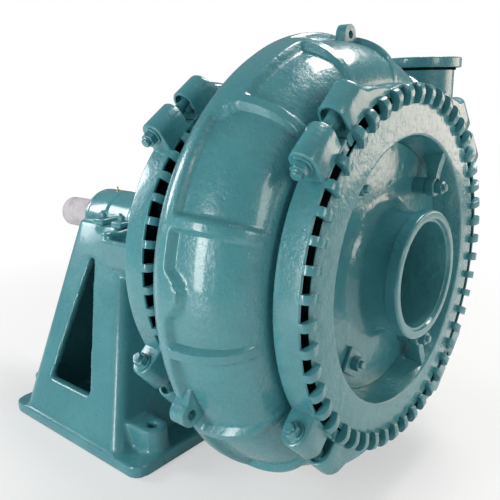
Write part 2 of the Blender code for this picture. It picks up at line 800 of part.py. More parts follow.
def add_clamp_ring(label, face_x, splits):
    """Four segments, and the rod, washer and nut that close each split."""
    centre = (face_x - CLAMP_WIDTH / 2, lug_centre(), 0.0)
    washer_start = LUG_START + LUG_LENGTH + GAP
    nut_start = washer_start + CLAMP_WASHER_THICKNESS
    nut_end = nut_start + CLAMP_NUT_HEIGHT
    for index, segment in enumerate(("top", "left", "bottom", "right")):
        start = splits[index]
        end = splits[(index + 1) % len(splits)]
        if end < start:
            end += 360.0
        clamp_segment(f"{label}_clamp_{segment}", face_x, start, end, index % 2 == 1)
        side = 1 if index % 2 == 1 else -1
        rod = rod_profile(-side * (LUG_START + ROD_BLIND_DEPTH), side * (nut_end + ROD_PROUD), ROD_R)
        piece = add_piece(f"{label}_clamp_rod_{index + 1}", [turned(lathe(rod, BOLT_SIDES, "Z", centre), start)])
        add_nut(piece, side * nut_start, side * nut_end, CLAMP_NUT_FLATS, "Z", centre, start)
        washer = rod_profile(side * washer_start, side * (nut_start + CLAMP_WASHER_THICKNESS / 2), CLAMP_WASHER_R)
        combine(piece, "UNION", "washer", [turned(lathe(washer, BOLT_SIDES, "Z", centre), start)])


def add_nut(piece, start, end, flats, axis, centre, angle=0.0):
    """Hexagonal nut made fast on its rod."""
    nut = lathe(rod_profile(start, end, hex_radius(flats)), HEX_SIDES, axis, centre)
    combine(piece, "UNION", "nut", [turned(nut, angle)])


def growth_share(angle):
    """Share of the volute's growth that is reached at an angle."""
    angle = angle % 360.0
    table = GROWTH_ANGLES_SHARES
    for (low, low_share), (high, high_share) in zip(table, table[1:]):
        if low <= angle <= high:
            return low_share + (high_share - low_share) * (angle - low) / (high - low)
    return table[-1][1]


def section_radius(station, half_width, base, crest):
    """Radius of the casing's section at a station: a flattened arch in front, a slimmer slope behind."""
    power = REAR_SECTION_POWER if station < 0.0 else SECTION_POWER
    inside = max(0.0, 1.0 - abs(station / half_width) ** power)
    return base + (crest - base) * inside ** (1.0 / power)


def casing_stations():
    """Angles round the casing, each with whether a rib stands there."""
    stations = []
    for angle in RIB_ANGLES:
        half = RIB_ANGLE_WIDTH / 2
        stations.append((angle - half - RIB_FLANK_ANGLE, False))
        stations.append((angle - half, True))
        stations.append((angle + half, True))
        stations.append((angle + half + RIB_FLANK_ANGLE, False))
    pitch = RIB_ANGLES[1] - RIB_ANGLES[0]
    for angle in RIB_ANGLES[:-1]:
        stations.append((angle + pitch / 2, False))
    start = RIB_ANGLES[-1] + RIB_ANGLE_WIDTH / 2 + RIB_FLANK_ANGLE
    end = RIB_ANGLES[0] + 360.0 - RIB_ANGLE_WIDTH / 2 - RIB_FLANK_ANGLE
    count = round((end - start) / (pitch / 2))
    for index in range(1, count):
        stations.append((start + (end - start) * index / count, False))
    return sorted(stations)


def add_pump_casing():
    """Volute with its two clamp flanges, raised shelf, ribs, boss, eyes and discharge."""
    rings = []
    for angle, on_rib in casing_stations():
        panel = VOLUTE_R + VOLUTE_GROWTH * growth_share(angle)
        raised = panel + SHELF_RISE
        front = raised if on_rib else panel
        loop = [
            (REAR_FLANGE_X, FLANGE_R),
            (REAR_GROOVE_X, FLANGE_R),
            (REAR_GROOVE_X, REAR_GROOVE_R),
            (REAR_SHOULDER_X, REAR_GROOVE_R),
        ]
        for share in REAR_SECTION_SHARES:
            x = share * REAR_SHOULDER_X
            loop.append((x, section_radius(x, -REAR_SHOULDER_X, REAR_GROOVE_R, raised)))
        loop.append((SHELF_EDGE_X, section_radius(SHELF_EDGE_X, FRONT_SHOULDER_X, FRONT_GROOVE_R, raised)))
        x = SHELF_EDGE_X + SHELF_WALL_RUN
        loop.append((x, section_radius(x, FRONT_SHOULDER_X, FRONT_GROOVE_R, front)))
        for share in FRONT_SECTION_SHARES:
            x = share * FRONT_SHOULDER_X
            loop.append((x, section_radius(x, FRONT_SHOULDER_X, FRONT_GROOVE_R, front)))
        loop.append((FRONT_SHOULDER_X, FRONT_GROOVE_R))
        loop.append((FRONT_GROOVE_X, FRONT_GROOVE_R))
        loop.append((FRONT_GROOVE_X, FLANGE_R))
        loop.append((FRONT_FLANGE_X, FLANGE_R))
        rings.append((angle, loop))
    casing = add_piece("pump_casing", [closed_grid(rings)])

    boss_top = VOLUTE_R + SHELF_RISE + GAP
    boss_loop = rod_profile(boss_top - BOSS_HEIGHT, boss_top, BOSS_R)
    boss = turned(lathe(boss_loop, SMALL_SIDES, "Y"), BOSS_ANGLE)
    combine(casing, "UNION", "boss", [boss])
    eye = eye_outline(EYE_PLACE_R, EYE_R, VOLUTE_R - EYE_R, EYE_ARM_LENGTH)
    eye_shape = prism(eye, EYE_X - EYE_THICKNESS / 2, EYE_X + EYE_THICKNESS / 2, "X")
    lift = eye_outline(LIFT_PLACE_R, LIFT_R, VOLUTE_R - LIFT_R, 2 * LIFT_R)
    lift_shape = prism(lift, LIFT_X - LIFT_THICKNESS / 2, LIFT_X + LIFT_THICKNESS / 2, "X")
    combine(casing, "UNION", "eyes", [turned(eye_shape, EYE_ANGLE), turned(lift_shape, LIFT_ANGLE)])
    eye_hole = rod_profile(EYE_X - EYE_THICKNESS - EYE_R, EYE_X + EYE_THICKNESS, EYE_HOLE_R)
    lift_hole = rod_profile(LIFT_X - LIFT_THICKNESS, LIFT_X + LIFT_THICKNESS, LIFT_HOLE_R)
    eye_bore = turned(lathe(eye_hole, BOLT_SIDES, "X", (0.0, EYE_PLACE_R, 0.0)), EYE_ANGLE)
    combine(casing, "DIFFERENCE", "eye_hole", [eye_bore])
    lift_bore = turned(lathe(lift_hole, BOLT_SIDES, "X", (0.0, LIFT_PLACE_R, 0.0)), LIFT_ANGLE)
    combine(casing, "DIFFERENCE", "lift_hole", [lift_bore])

    neck_top = DISCHARGE_TOP - DISCHARGE_RIM_HEIGHT
    groove_low = neck_top - DISCHARGE_GROOVE_HEIGHT
    rim = [
        (DISCHARGE_TOP, 0.0),
        (DISCHARGE_TOP, DISCHARGE_RIM_R),
        (neck_top, DISCHARGE_RIM_R),
        (neck_top, DISCHARGE_GROOVE_R),
        (groove_low, DISCHARGE_GROOVE_R),
        (groove_low, DISCHARGE_NECK_R),
        (FLARE_TOP - FLARE_DEPTH, DISCHARGE_NECK_R),
        (FLARE_TOP - FLARE_DEPTH, 0.0),
    ]
    flare = []
    for depth_share, reach_share in FLARE_SHARES:
        reach = FLARE_REACH * reach_share
        half_y = DISCHARGE_NECK_R - NECK_TAPER + reach
        half_x = DISCHARGE_NECK_R - NECK_TAPER + FLARE_DEPTH * reach_share
        height = FLARE_TOP - (FLARE_TOP - FLARE_BOTTOM) * depth_share
        ring = []
        for index in range(DISCHARGE_SIDES):
            angle = 2 * math.pi * index / DISCHARGE_SIDES
            y = DISCHARGE_Y - reach + half_y * math.sin(angle)
            ring.append((DISCHARGE_X + half_x * math.cos(angle), y, height))
        flare.append(ring)
    combine(casing, "UNION", "flare", [loft(flare)])
    centre = (DISCHARGE_X, DISCHARGE_Y, 0.0)
    combine(casing, "UNION", "rim", [lathe(rim, DISCHARGE_SIDES, "Z", centre)])

    cavity = []
    for index in range(LARGE_SIDES):
        angle = 360.0 * index / LARGE_SIDES
        crest = VOLUTE_R + VOLUTE_GROWTH * growth_share(angle) - CASING_WALL
        loop = [(-CAVITY_HALF_WIDTH, CASING_BORE_R)]
        for share in CAVITY_SECTION_SHARES:
            x = share * CAVITY_HALF_WIDTH
            loop.append((x, section_radius(x, CAVITY_HALF_WIDTH, CASING_BORE_R, crest)))
        loop.append((CAVITY_HALF_WIDTH, CASING_BORE_R))
        cavity.append((angle, loop))
    combine(casing, "DIFFERENCE", "cavity", [closed_grid(cavity)])
    bore_start = CAVITY_HALF_WIDTH - OVERRUN
    bores = [
        lathe(rod_profile(bore_start, FRONT_FLANGE_X + OVERRUN, CASING_BORE_R), LARGE_SIDES),
        lathe(rod_profile(REAR_FLANGE_X - OVERRUN, -bore_start, CASING_BORE_R), LARGE_SIDES),
    ]
    combine(casing, "DIFFERENCE", "bores", bores)
    outlet = lathe(rod_profile(DISCHARGE_BORE_R, DISCHARGE_TOP + OVERRUN, DISCHARGE_BORE_R), DISCHARGE_SIDES, "Z", centre)
    combine(casing, "DIFFERENCE", "outlet", [outlet])


def closed_grid(rings):
    """Solid from loops of (along, radius) at angles all the way round, with a flat face at both ends."""
    points = []
    rows = []
    for angle, loop in rings:
        cosine = math.cos(math.radians(angle))
        sine = math.sin(math.radians(angle))
        rows.append(list(range(len(points), len(points) + len(loop))))
        points.extend([(x, radius * cosine, radius * sine) for x, radius in loop])
    faces = [[row[0] for row in rows], [row[-1] for row in rows]]
    for row, after in zip(rows, rows[1:] + rows[:1]):
        for corner in range(len(row) - 1):
            faces.append([row[corner], row[corner + 1], after[corner + 1], after[corner]])
    return points, faces


def eye_outline(place_r, radius, root_r, arm_length):
    """Round eye with an arm along the casing, in radius and tangent at the +Y side."""
    outline = [(root_r, radius)]
    steps = SMALL_SIDES // 2
    for step in range(steps + 1):
        angle = math.pi / 2 - math.pi * step / steps
        outline.append((place_r + radius * math.cos(angle), radius * math.sin(angle)))
    outline.append((root_r, -arm_length))
    return outline


def add_front_cover():
    """Ring-shaped cover with its conical recess and the two cast arms that hold the liner."""
    bore = LINER_SEAT_R
    spigot = CASING_BORE_R - GAP
    seat = FRONT_FLANGE_X + GAP
    profile = [
        (seat, FLANGE_R),
        (COVER_FACE_X, FLANGE_R),
        (COVER_FACE_X, CLAW_HEEL_R - CLAW_CREST_DROP),
        (COVER_LIP_X, COVER_LIP_R),
        (LINER_HUB_X, bore),
        (LINER_SHOULDER_X, bore),
        (LINER_SHOULDER_X, spigot),
        (seat, spigot),
    ]
    cover = add_piece("front_cover", [lathe(profile, LARGE_SIDES)], roughness=0.22)
    arms = []
    holes = []
    for angle in ARM_ANGLES:
        outline = [
            (ARM_FOOT_R, -ARM_FOOT_HALF_WIDTH),
            (ARM_FOOT_R, ARM_FOOT_HALF_WIDTH),
            (ARM_NECK_R, ARM_HALF_WIDTH),
        ]
        steps = SMALL_SIDES // 2
        for step in range(steps + 1):
            turn = math.pi / 2 + math.pi * step / steps
            outline.append((STUD_CIRCLE_R + ARM_EYE_R * math.cos(turn), ARM_EYE_R * math.sin(turn)))
        outline.append((ARM_NECK_R, -ARM_HALF_WIDTH))
        arms.append(turned(prism(outline, ARM_X, ARM_X + ARM_THICKNESS, "X"), angle))
        loop = rod_profile(ARM_X - OVERRUN, ARM_X + ARM_THICKNESS + OVERRUN, STUD_R + GAP)
        holes.append(turned(lathe(loop, BOLT_SIDES, "X", (0.0, STUD_CIRCLE_R, 0.0)), angle))
    combine(cover, "UNION", "arms", arms)
    combine(cover, "DIFFERENCE", "arm_holes", holes)


def add_suction_liner():
    """Suction side liner with its pipe, held to the front cover by four studs."""
    shoulder = LINER_SHOULDER_X - GAP
    outer = CASING_BORE_R - 2 * GAP
    hub = LINER_SEAT_R - COVER_BORE_CLEARANCE
    rim_start = SUCTION_END_X - SUCTION_RIM_LENGTH
    bevel = (SUCTION_RIM_R - SUCTION_NECK_R) / 2
    lip = SUCTION_RIM_R - bevel
    step_r = (SUCTION_BORE_R + SUCTION_PIPE_R) / 2
    profile = [
        (LINER_FACE_X, SUCTION_BORE_R),
        (SUCTION_BORE_END_X, SUCTION_BORE_R),
        (SUCTION_BORE_END_X, step_r),
        (SUCTION_END_X, SUCTION_PIPE_R),
        (SUCTION_END_X, lip),
        (SUCTION_END_X - bevel, SUCTION_RIM_R),
        (rim_start, SUCTION_RIM_R),
        (rim_start - bevel, SUCTION_NECK_R),
        (SUCTION_PIPE_X, SUCTION_PIPE_R),
        (SUCTION_FLARE_X, SUCTION_FLARE_R),
        (LINER_HUB_X, SUCTION_ROOT_R),
        (LINER_HUB_X, hub),
        (shoulder, hub),
        (shoulder, outer),
        (LINER_FACE_X, outer),
    ]
    liner = add_piece("suction_liner", [lathe(profile, LARGE_SIDES)])
    holes = []
    for angle in stud_angles():
        loop = rod_profile(LINER_HUB_X - STUD_BLIND_DEPTH - GAP, LINER_HUB_X + OVERRUN, STUD_R + GAP)
        holes.append(turned(lathe(loop, BOLT_SIDES, "X", (0.0, STUD_CIRCLE_R, 0.0)), angle))
    combine(liner, "DIFFERENCE", "stud_holes", holes)


def stud_angles():
    """Places of the four studs in the suction liner."""
    return (ARM_ANGLES[0], NUT_STUD_ANGLE, PLATE_STUD_ANGLE, ARM_ANGLES[1])


def add_liner_fasteners():
    """Studs with their nuts, spacers and the square plate on the suction liner."""
    centre = (0.0, STUD_CIRCLE_R, 0.0)
    face = LINER_HUB_X
    arm_front = ARM_X + ARM_THICKNESS + GAP
    nut_starts = (arm_front, face + GAP, face + PLATE_THICKNESS + 2 * GAP, arm_front)
    for index, (angle, start) in enumerate(zip(stud_angles(), nut_starts)):
        end = start + STUD_NUT_HEIGHT
        stud = lathe(rod_profile(face - STUD_BLIND_DEPTH, end + STUD_PROUD, STUD_R), BOLT_SIDES, "X", centre)
        piece = add_piece(f"liner_stud_{index + 1}", [turned(stud, angle)])
        add_nut(piece, start, end, STUD_NUT_FLATS, "X", centre, angle)
    for index, angle in enumerate(ARM_ANGLES):
        loop = ring_profile(face + GAP, ARM_X - GAP, STUD_R + GAP, SPACER_R)
        add_piece(f"liner_spacer_{index + 1}", [turned(lathe(loop, BOLT_SIDES, "X", centre), angle)])
    half = PLATE_SIDE / 2
    outline = rectangle(STUD_CIRCLE_R - half, STUD_CIRCLE_R + half, -half, half)
    plate = prism(outline, face + GAP, face + GAP + PLATE_THICKNESS, "X")
    piece = add_piece("liner_plate", [turned(plate, PLATE_STUD_ANGLE)])
    hole = lathe(rod_profile(face - OVERRUN, face + PLATE_THICKNESS + OVERRUN, STUD_R + GAP), BOLT_SIDES, "X", centre)
    combine(piece, "DIFFERENCE", "hole", [turned(hole, PLATE_STUD_ANGLE)])


def add_frame_plate():
    """Plate between the pedestal's ring flange and the casing."""
    spigot = CASING_BORE_R - GAP
    seat = REAR_FLANGE_X - GAP
    hub_bore = STUFFING_R + GAP
    profile = [
        (PLATE_FRONT_X, hub_bore),
        (PLATE_FRONT_X, spigot),
        (seat, spigot),
        (seat, FLANGE_R),
        (FRAME_PLATE_REAR_X, FLANGE_R),
        (FRAME_PLATE_REAR_X, PLATE_RIM_R),
        (PLATE_WEB_X, PLATE_RIM_R),
        (PLATE_WEB_X, FRAME_RING_OUTER_R),
        (FRAME_PLATE_REAR_X, FRAME_RING_OUTER_R),
        (FRAME_PLATE_REAR_X, TROUGH_OUTER_R),
        (PLATE_WEB_X, TROUGH_OUTER_R),
        (PLATE_WEB_X, PLATE_HUB_R),
        (FRAME_PLATE_REAR_X, PLATE_HUB_R),
        (FRAME_PLATE_REAR_X, hub_bore),
    ]
    add_piece("frame_plate", [lathe(profile, LARGE_SIDES)], DARK_TEAL)


def add_rear_liner():
    """Rear side liner between the frame plate and the casing's cavity."""
    rear = PLATE_FRONT_X + GAP
    outer = CASING_BORE_R - 2 * GAP
    bore = circumscribed(REAR_LINER_BORE_R, LARGE_SIDES)
    loop = ring_profile(rear, REAR_LINER_FACE_X, bore, outer)
    add_piece("rear_liner", [lathe(loop, LARGE_SIDES)], WHITE_IRON, 0.8, 0.5)


def add_stuffing_box():
    """Stuffing box with packing, lantern ring, gland, and the gland's studs and nuts."""
    flange_front = FRAME_PLATE_REAR_X - GAP
    flange_rear = flange_front - STUFFING_FLANGE_THICKNESS
    front = PLATE_FRONT_X - GAP
    bore = STUFFING_BORE_R
    throat = circumscribed(STUFFING_THROAT_R, SHAFT_SIDES)
    profile = [
        (STUFFING_REAR_X, bore),
        (STUFFING_THROAT_X, bore),
        (STUFFING_THROAT_X, throat),
        (front, throat),
        (front, STUFFING_R),
        (flange_front, STUFFING_R),
        (flange_front, STUFFING_FLANGE_R),
        (flange_rear, STUFFING_FLANGE_R),
        (flange_rear, STUFFING_R),
        (STUFFING_REAR_X, STUFFING_R),
    ]
    stuffing_box = add_piece("stuffing_box", [lathe(profile, SHAFT_SIDES)], DARK_TEAL, 0.1, 0.4)
    holes = []
    for angle in (0.0, 180.0):
        loop = rod_profile(STUFFING_REAR_X - OVERRUN, STUFFING_REAR_X + GLAND_STUD_DEPTH + GAP, GLAND_STUD_R + GAP)
        holes.append(turned(lathe(loop, HEX_SIDES, "X", (0.0, GLAND_STUD_CIRCLE_R, 0.0)), angle))
    combine(stuffing_box, "DIFFERENCE", "stud_holes", holes)

    outer = bore - GAP
    lantern_front = STUFFING_THROAT_X - GAP
    front_ring_end = lantern_front - PACKING_WIDTH
    packing_ring("packing_ring_1", front_ring_end, lantern_front)
    lantern_end = front_ring_end - GAP - LANTERN_WIDTH
    packing_ring("lantern_ring", lantern_end, front_ring_end - GAP, BRASS, 0.9, 0.4)
    rear_ring_end = lantern_end - GAP - REAR_PACKING_WIDTH
    packing_ring("packing_ring_2", rear_ring_end, lantern_end - GAP)

    nose = rear_ring_end - GAP
    flange_start = STUFFING_REAR_X - GLAND_CLEAR
    flange_end = flange_start - GLAND_FLANGE_THICKNESS
    inner = circumscribed(SLEEVE_R + GAP, SHAFT_SIDES)
    gland_profile = [
        (nose, inner),
        (nose, outer),
        (flange_start, outer),
        (flange_start, GLAND_FLANGE_R),
        (flange_end, GLAND_FLANGE_R),
        (flange_end, inner),
    ]
    gland = add_piece("gland", [lathe(gland_profile, SHAFT_SIDES)], WHITE_IRON, 0.7, 0.5)
    holes = []
    nut_front = flange_end - GAP
    nut_rear = nut_front - GLAND_NUT_HEIGHT
    centre = (0.0, GLAND_STUD_CIRCLE_R, 0.0)
    for index, angle in enumerate((0.0, 180.0)):
        stud = rod_profile(nut_rear - GLAND_STUD_PROUD, STUFFING_REAR_X + GLAND_STUD_DEPTH, GLAND_STUD_R)
        stud_shape = turned(lathe(stud, HEX_SIDES, "X", centre), angle)
        add_piece(f"gland_stud_{index + 1}", [stud_shape], STEEL, 0.9, 0.35)
        nut = hex_nut(nut_rear, nut_front, GLAND_NUT_FLATS, GLAND_STUD_R + GAP, "X", centre)
        add_piece(f"gland_nut_{index + 1}", [turned(nut, angle)], STEEL, 0.9, 0.35)
        loop = rod_profile(flange_end - OVERRUN, flange_start + OVERRUN, GLAND_STUD_R + GAP)
        holes.append(turned(lathe(loop, HEX_SIDES, "X", centre), angle))
    combine(gland, "DIFFERENCE", "stud_holes", holes)


def packing_ring(name, start, end, colour=PACKING, metallic=0.0, roughness=0.9):
    """Ring between the shaft sleeve and the stuffing box."""
    inner = circumscribed(SLEEVE_R + GAP, SHAFT_SIDES)
    loop = ring_profile(start, end, inner, STUFFING_BORE_R - GAP)
    add_piece(name, [lathe(loop, SHAFT_SIDES)], colour, metallic, roughness)


def add_rotor():
    """Shaft, sleeve, lock nut, labyrinth rings and impeller."""
    drive_shoulder = DRIVE_BEARING_X + BEARING_WIDTH / 2 + GAP
    pump_shoulder = PUMP_BEARING_X - BEARING_WIDTH / 2 - GAP
    sleeve_end = -IMPELLER_HALF_WIDTH - GAP
    sleeve_start = sleeve_end - SLEEVE_LENGTH
    seat_step = sleeve_start - GAP
    thread_start = -IMPELLER_HALF_WIDTH - GAP
    profile = [
        (SHAFT_END_X, 0.0),
        (SHAFT_END_X, SHAFT_END_R - SHAFT_CHAMFER),
        (SHAFT_END_X + SHAFT_CHAMFER, SHAFT_END_R),
        (DRIVE_SEAT_X, SHAFT_END_R),
        (DRIVE_SEAT_X, BEARING_SEAT_R),
        (drive_shoulder, BEARING_SEAT_R),
        (drive_shoulder, SHAFT_BODY_R),
        (pump_shoulder, SHAFT_BODY_R),
        (pump_shoulder, BEARING_SEAT_R),
        (PUMP_SEAT_X, BEARING_SEAT_R),
        (PUMP_SEAT_X, SHAFT_NECK_R),
        (seat_step, SHAFT_NECK_R),
        (seat_step, SLEEVE_SEAT_R),
        (thread_start, SLEEVE_SEAT_R),
        (thread_start, THREAD_R),
        (THREAD_END_X, THREAD_R),
        (THREAD_END_X, 0.0),
    ]
    add_piece("shaft", [lathe(profile, SHAFT_SIDES)], STEEL, 0.6, 0.45)
    sleeve = ring_profile(sleeve_start, sleeve_end, SLEEVE_SEAT_R + GAP, SLEEVE_R)
    add_piece("shaft_sleeve", [lathe(sleeve, SHAFT_SIDES)], STEEL, 0.9, 0.3)

    bore = BEARING_SEAT_R + GAP
    nut_front = DRIVE_BEARING_X - BEARING_WIDTH / 2 - GAP
    nut_rear = nut_front - LOCK_NUT_WIDTH
    add_piece(
        "bearing_lock_nut", [lathe(ring_profile(nut_rear, nut_front, bore, LOCK_NUT_R), SHAFT_SIDES)], STEEL, 0.9, 0.4
    )
    pump_start = PUMP_BEARING_X + BEARING_WIDTH / 2 + GAP
    for label, start, end in (("drive", DRIVE_SEAT_X + GAP, nut_rear - GAP), ("pump", pump_start, PUMP_SEAT_X)):
        ring = lathe(ring_profile(start, end, circumscribed(bore, SHAFT_SIDES), LABYRINTH_R), SHAFT_SIDES)
        add_piece(f"{label}_labyrinth_ring", [turned(ring, 180.0 / SHAFT_SIDES)], WHITE_IRON, 0.8, 0.4)

    web = IMPELLER_HALF_WIDTH - SHROUD_THICKNESS
    hub_bore = THREAD_R + GAP
    rear_shroud = [
        (-IMPELLER_HALF_WIDTH, hub_bore),
        (-IMPELLER_HALF_WIDTH, IMPELLER_R),
        (-web, IMPELLER_R),
        (-web, HUB_R),
        ((HUB_NOSE_X - web) / 2, (HUB_R + HUB_NOSE_R) / 2 + HUB_NOSE_R / 2),
        (HUB_NOSE_X, HUB_NOSE_R),
        (HUB_NOSE_X, 0.0),
        (THREAD_END_X + GAP, 0.0),
        (THREAD_END_X + GAP, hub_bore),
    ]
    front_shroud = ring_profile(web, IMPELLER_HALF_WIDTH, IMPELLER_EYE_R, IMPELLER_R)
    impeller = add_piece(
        "impeller", [lathe(rear_shroud, SHAFT_SIDES), lathe(front_shroud, SHAFT_SIDES)], WHITE_IRON, 0.8, 0.5
    )
    vanes = []
    for index in range(VANE_COUNT):
        leading = []
        trailing = []
        for step in range(VANE_STEPS + 1):
            share = step / VANE_STEPS
            radius = VANE_START_R + (VANE_END_R - VANE_START_R) * share
            angle = math.radians(-VANE_WRAP * share)
            half = VANE_THICKNESS / 2
            leading.append(((radius + half) * math.cos(angle), (radius + half) * math.sin(angle)))
            trailing.append(((radius - half) * math.cos(angle), (radius - half) * math.sin(angle)))
        leading[-1] = (VANE_END_R * math.cos(angle), VANE_END_R * math.sin(angle))
        outline = leading + trailing[::-1]
        reach = web + SHROUD_THICKNESS / 4
        vanes.append(turned(prism(outline, -reach, reach, "X"), 360.0 * index / VANE_COUNT))
    combine(impeller, "UNION", "vanes", vanes)


def add_bearings():
    """Inner ring, outer ring and caged rollers of both bearings."""
    inner_r = ROLLER_PITCH_R - ROLLER_R - GAP
    outer_r = circumscribed(ROLLER_PITCH_R + ROLLER_R + GAP, SHAFT_SIDES)
    seat_r = circumscribed(BEARING_SEAT_R + GAP, SHAFT_SIDES)
    half_side = 180.0 / SHAFT_SIDES
    for label, centre_x in (("drive", DRIVE_BEARING_X), ("pump", PUMP_BEARING_X)):
        start = centre_x - BEARING_WIDTH / 2
        end = centre_x + BEARING_WIDTH / 2
        inner = turned(lathe(ring_profile(start, end, seat_r, inner_r), SHAFT_SIDES), half_side)
        outer = lathe(ring_profile(start, end, outer_r, BEARING_POCKET_R - GAP), SHAFT_SIDES)
        add_piece(f"{label}_bearing_inner_ring", [inner], STEEL, 1.0, 0.25)
        add_piece(f"{label}_bearing_outer_ring", [outer], STEEL, 1.0, 0.25)
        cage_start = centre_x - ROLLER_LENGTH / 2 - CAGE_WIDTH / 2
        cage_inner = circumscribed(inner_r + CAGE_CLEARANCE, SHAFT_SIDES)
        cage_outer = ROLLER_PITCH_R + ROLLER_R - CAGE_CLEARANCE
        cage_loop = ring_profile(cage_start, cage_start + CAGE_WIDTH, cage_inner, cage_outer)
        cage = add_piece(f"{label}_bearing_rollers", [lathe(cage_loop, SHAFT_SIDES)], STEEL, 1.0, 0.2)
        loop = rod_profile(centre_x - ROLLER_LENGTH / 2, centre_x + ROLLER_LENGTH / 2, ROLLER_R)
        rollers = []
        for index in range(ROLLER_COUNT):
            roller = lathe(loop, HEX_SIDES, "X", (0.0, ROLLER_PITCH_R, 0.0))
            rollers.append(turned(roller, half_side + 360.0 * index / ROLLER_COUNT))
        combine(cage, "UNION", "rollers", rollers)


def add_bearing_housing():
    """Cartridge barrel with its feet and adjusting lug, its end covers and their screws."""
    drive_seat = DRIVE_BEARING_X + BEARING_WIDTH / 2 + GAP
    pump_seat = PUMP_BEARING_X - BEARING_WIDTH / 2 - GAP
    waist = HOUSING_R - HOUSING_WAIST
    profile = [
        (HOUSING_REAR_X, HOUSING_R),
        (HOUSING_WAIST_REAR_X, HOUSING_R),
        (HOUSING_WAIST_REAR_X + HOUSING_WAIST, waist),
        (HOUSING_WAIST_FRONT_X - HOUSING_WAIST, waist),
        (HOUSING_WAIST_FRONT_X, HOUSING_R),
        (HOUSING_FRONT_X, HOUSING_R),
        (HOUSING_FRONT_X, BEARING_POCKET_R),
        (pump_seat, BEARING_POCKET_R),
        (pump_seat, HOUSING_INNER_R),
        (drive_seat, HOUSING_INNER_R),
        (drive_seat, BEARING_POCKET_R),
        (HOUSING_REAR_X, BEARING_POCKET_R),
    ]
    housing = add_piece("bearing_housing", [lathe(profile, SHAFT_SIDES)])
    foot_low = RAIL_TOP + GAP
    foot_high = foot_low + FOOT_THICKNESS
    feet = []
    slots = []
    for x in (REAR_FOOT_X, FRONT_FOOT_X):
        for side in (-1, 1):
            ends = sorted((side * FOOT_ROOT_Y, side * FOOT_OUTER_Y))
            feet.append(box((x - FOOT_HALF_LENGTH, ends[0], foot_low), (x + FOOT_HALF_LENGTH, ends[1], foot_high)))
            outline = []
            slot_r = circumscribed(FOOT_STUD_R + GAP, BOLT_SIDES)
            for step in range(BOLT_SIDES + 2):
                half_turn = math.pi if step > BOLT_SIDES // 2 else 0.0
                index = step % (BOLT_SIDES // 2 + 1)
                angle = half_turn - math.pi / 2 + math.pi * index / (BOLT_SIDES // 2)
                shift = -SLIDE_TRAVEL if half_turn else SLIDE_TRAVEL
                outline.append(
                    (x + shift + slot_r * math.cos(angle), side * FOOT_STUD_Y + slot_r * math.sin(angle))
                )
            slots.append(prism(outline, foot_low - OVERRUN, foot_high + OVERRUN, "Z"))
    combine(housing, "UNION", "feet", feet)
    lug = box(
        (ADJUST_LUG_X, -ADJUST_LUG_HALF_WIDTH, ADJUST_Z - ADJUST_LUG_DROP),
        (ADJUST_LUG_X + ADJUST_LUG_THICKNESS, ADJUST_LUG_HALF_WIDTH, -ADJUST_LUG_ROOT),
    )
    combine(housing, "UNION", "adjust_lug", [lug])
    lug_bore = rod_profile(ADJUST_LUG_X - OVERRUN, ADJUST_LUG_X + ADJUST_LUG_THICKNESS + OVERRUN, adjust_bore())
    slots.append(lathe(lug_bore, BOLT_SIDES, "X", (0.0, 0.0, ADJUST_Z)))
    combine(housing, "DIFFERENCE", "holes", slots)
    add_end_cover("drive_end_cover", -1, HOUSING_REAR_X, DRIVE_BEARING_X)
    add_end_cover("pump_end_cover", 1, HOUSING_FRONT_X, PUMP_BEARING_X)


def add_end_cover(name, side, seat, bearing_x):
    """Bearing end cover with the spigot that holds the outer ring."""
    near = seat + side * GAP
    far = near + side * END_COVER_THICKNESS
    tip = bearing_x + side * (BEARING_WIDTH / 2 + GAP)
    bore = circumscribed(LABYRINTH_R + LABYRINTH_CLEARANCE, SHAFT_SIDES)
    profile = [
        (far, bore),
        (far, HOUSING_R),
        (near, HOUSING_R),
        (near, BEARING_POCKET_R - GAP),
        (tip, BEARING_POCKET_R - GAP),
        (tip, END_COVER_SPIGOT_R),
        (near, END_COVER_SPIGOT_R),
        (near, bore),
    ]
    add_piece(name, [lathe(profile, SHAFT_SIDES)])


def add_foot_fasteners():
    """Studs with washers and nuts that hold the housing's feet on the pedestal's rails."""
    washer_low = RAIL_TOP + FOOT_THICKNESS + 2 * GAP
    nut_low = washer_low + FOOT_WASHER_THICKNESS
    nut_high = nut_low + FOOT_NUT_HEIGHT
    number = 0
    for x in (REAR_FOOT_X, FRONT_FOOT_X):
        for side in (-1, 1):
            number += 1
            centre = (x, side * FOOT_STUD_Y, 0.0)
            stud = rod_profile(RAIL_TOP - FOOT_STUD_DEPTH, nut_high + FOOT_STUD_PROUD, FOOT_STUD_R)
            piece = add_piece(f"housing_clamp_stud_{number}", [lathe(stud, BOLT_SIDES, "Z", centre)])
            add_nut(piece, nut_low, nut_high, FOOT_NUT_FLATS, "Z", centre)
            washer = rod_profile(washer_low, nut_low + FOOT_WASHER_THICKNESS / 2, FOOT_WASHER_R)
            combine(piece, "UNION", "washer", [lathe(washer, BOLT_SIDES, "Z", centre)])


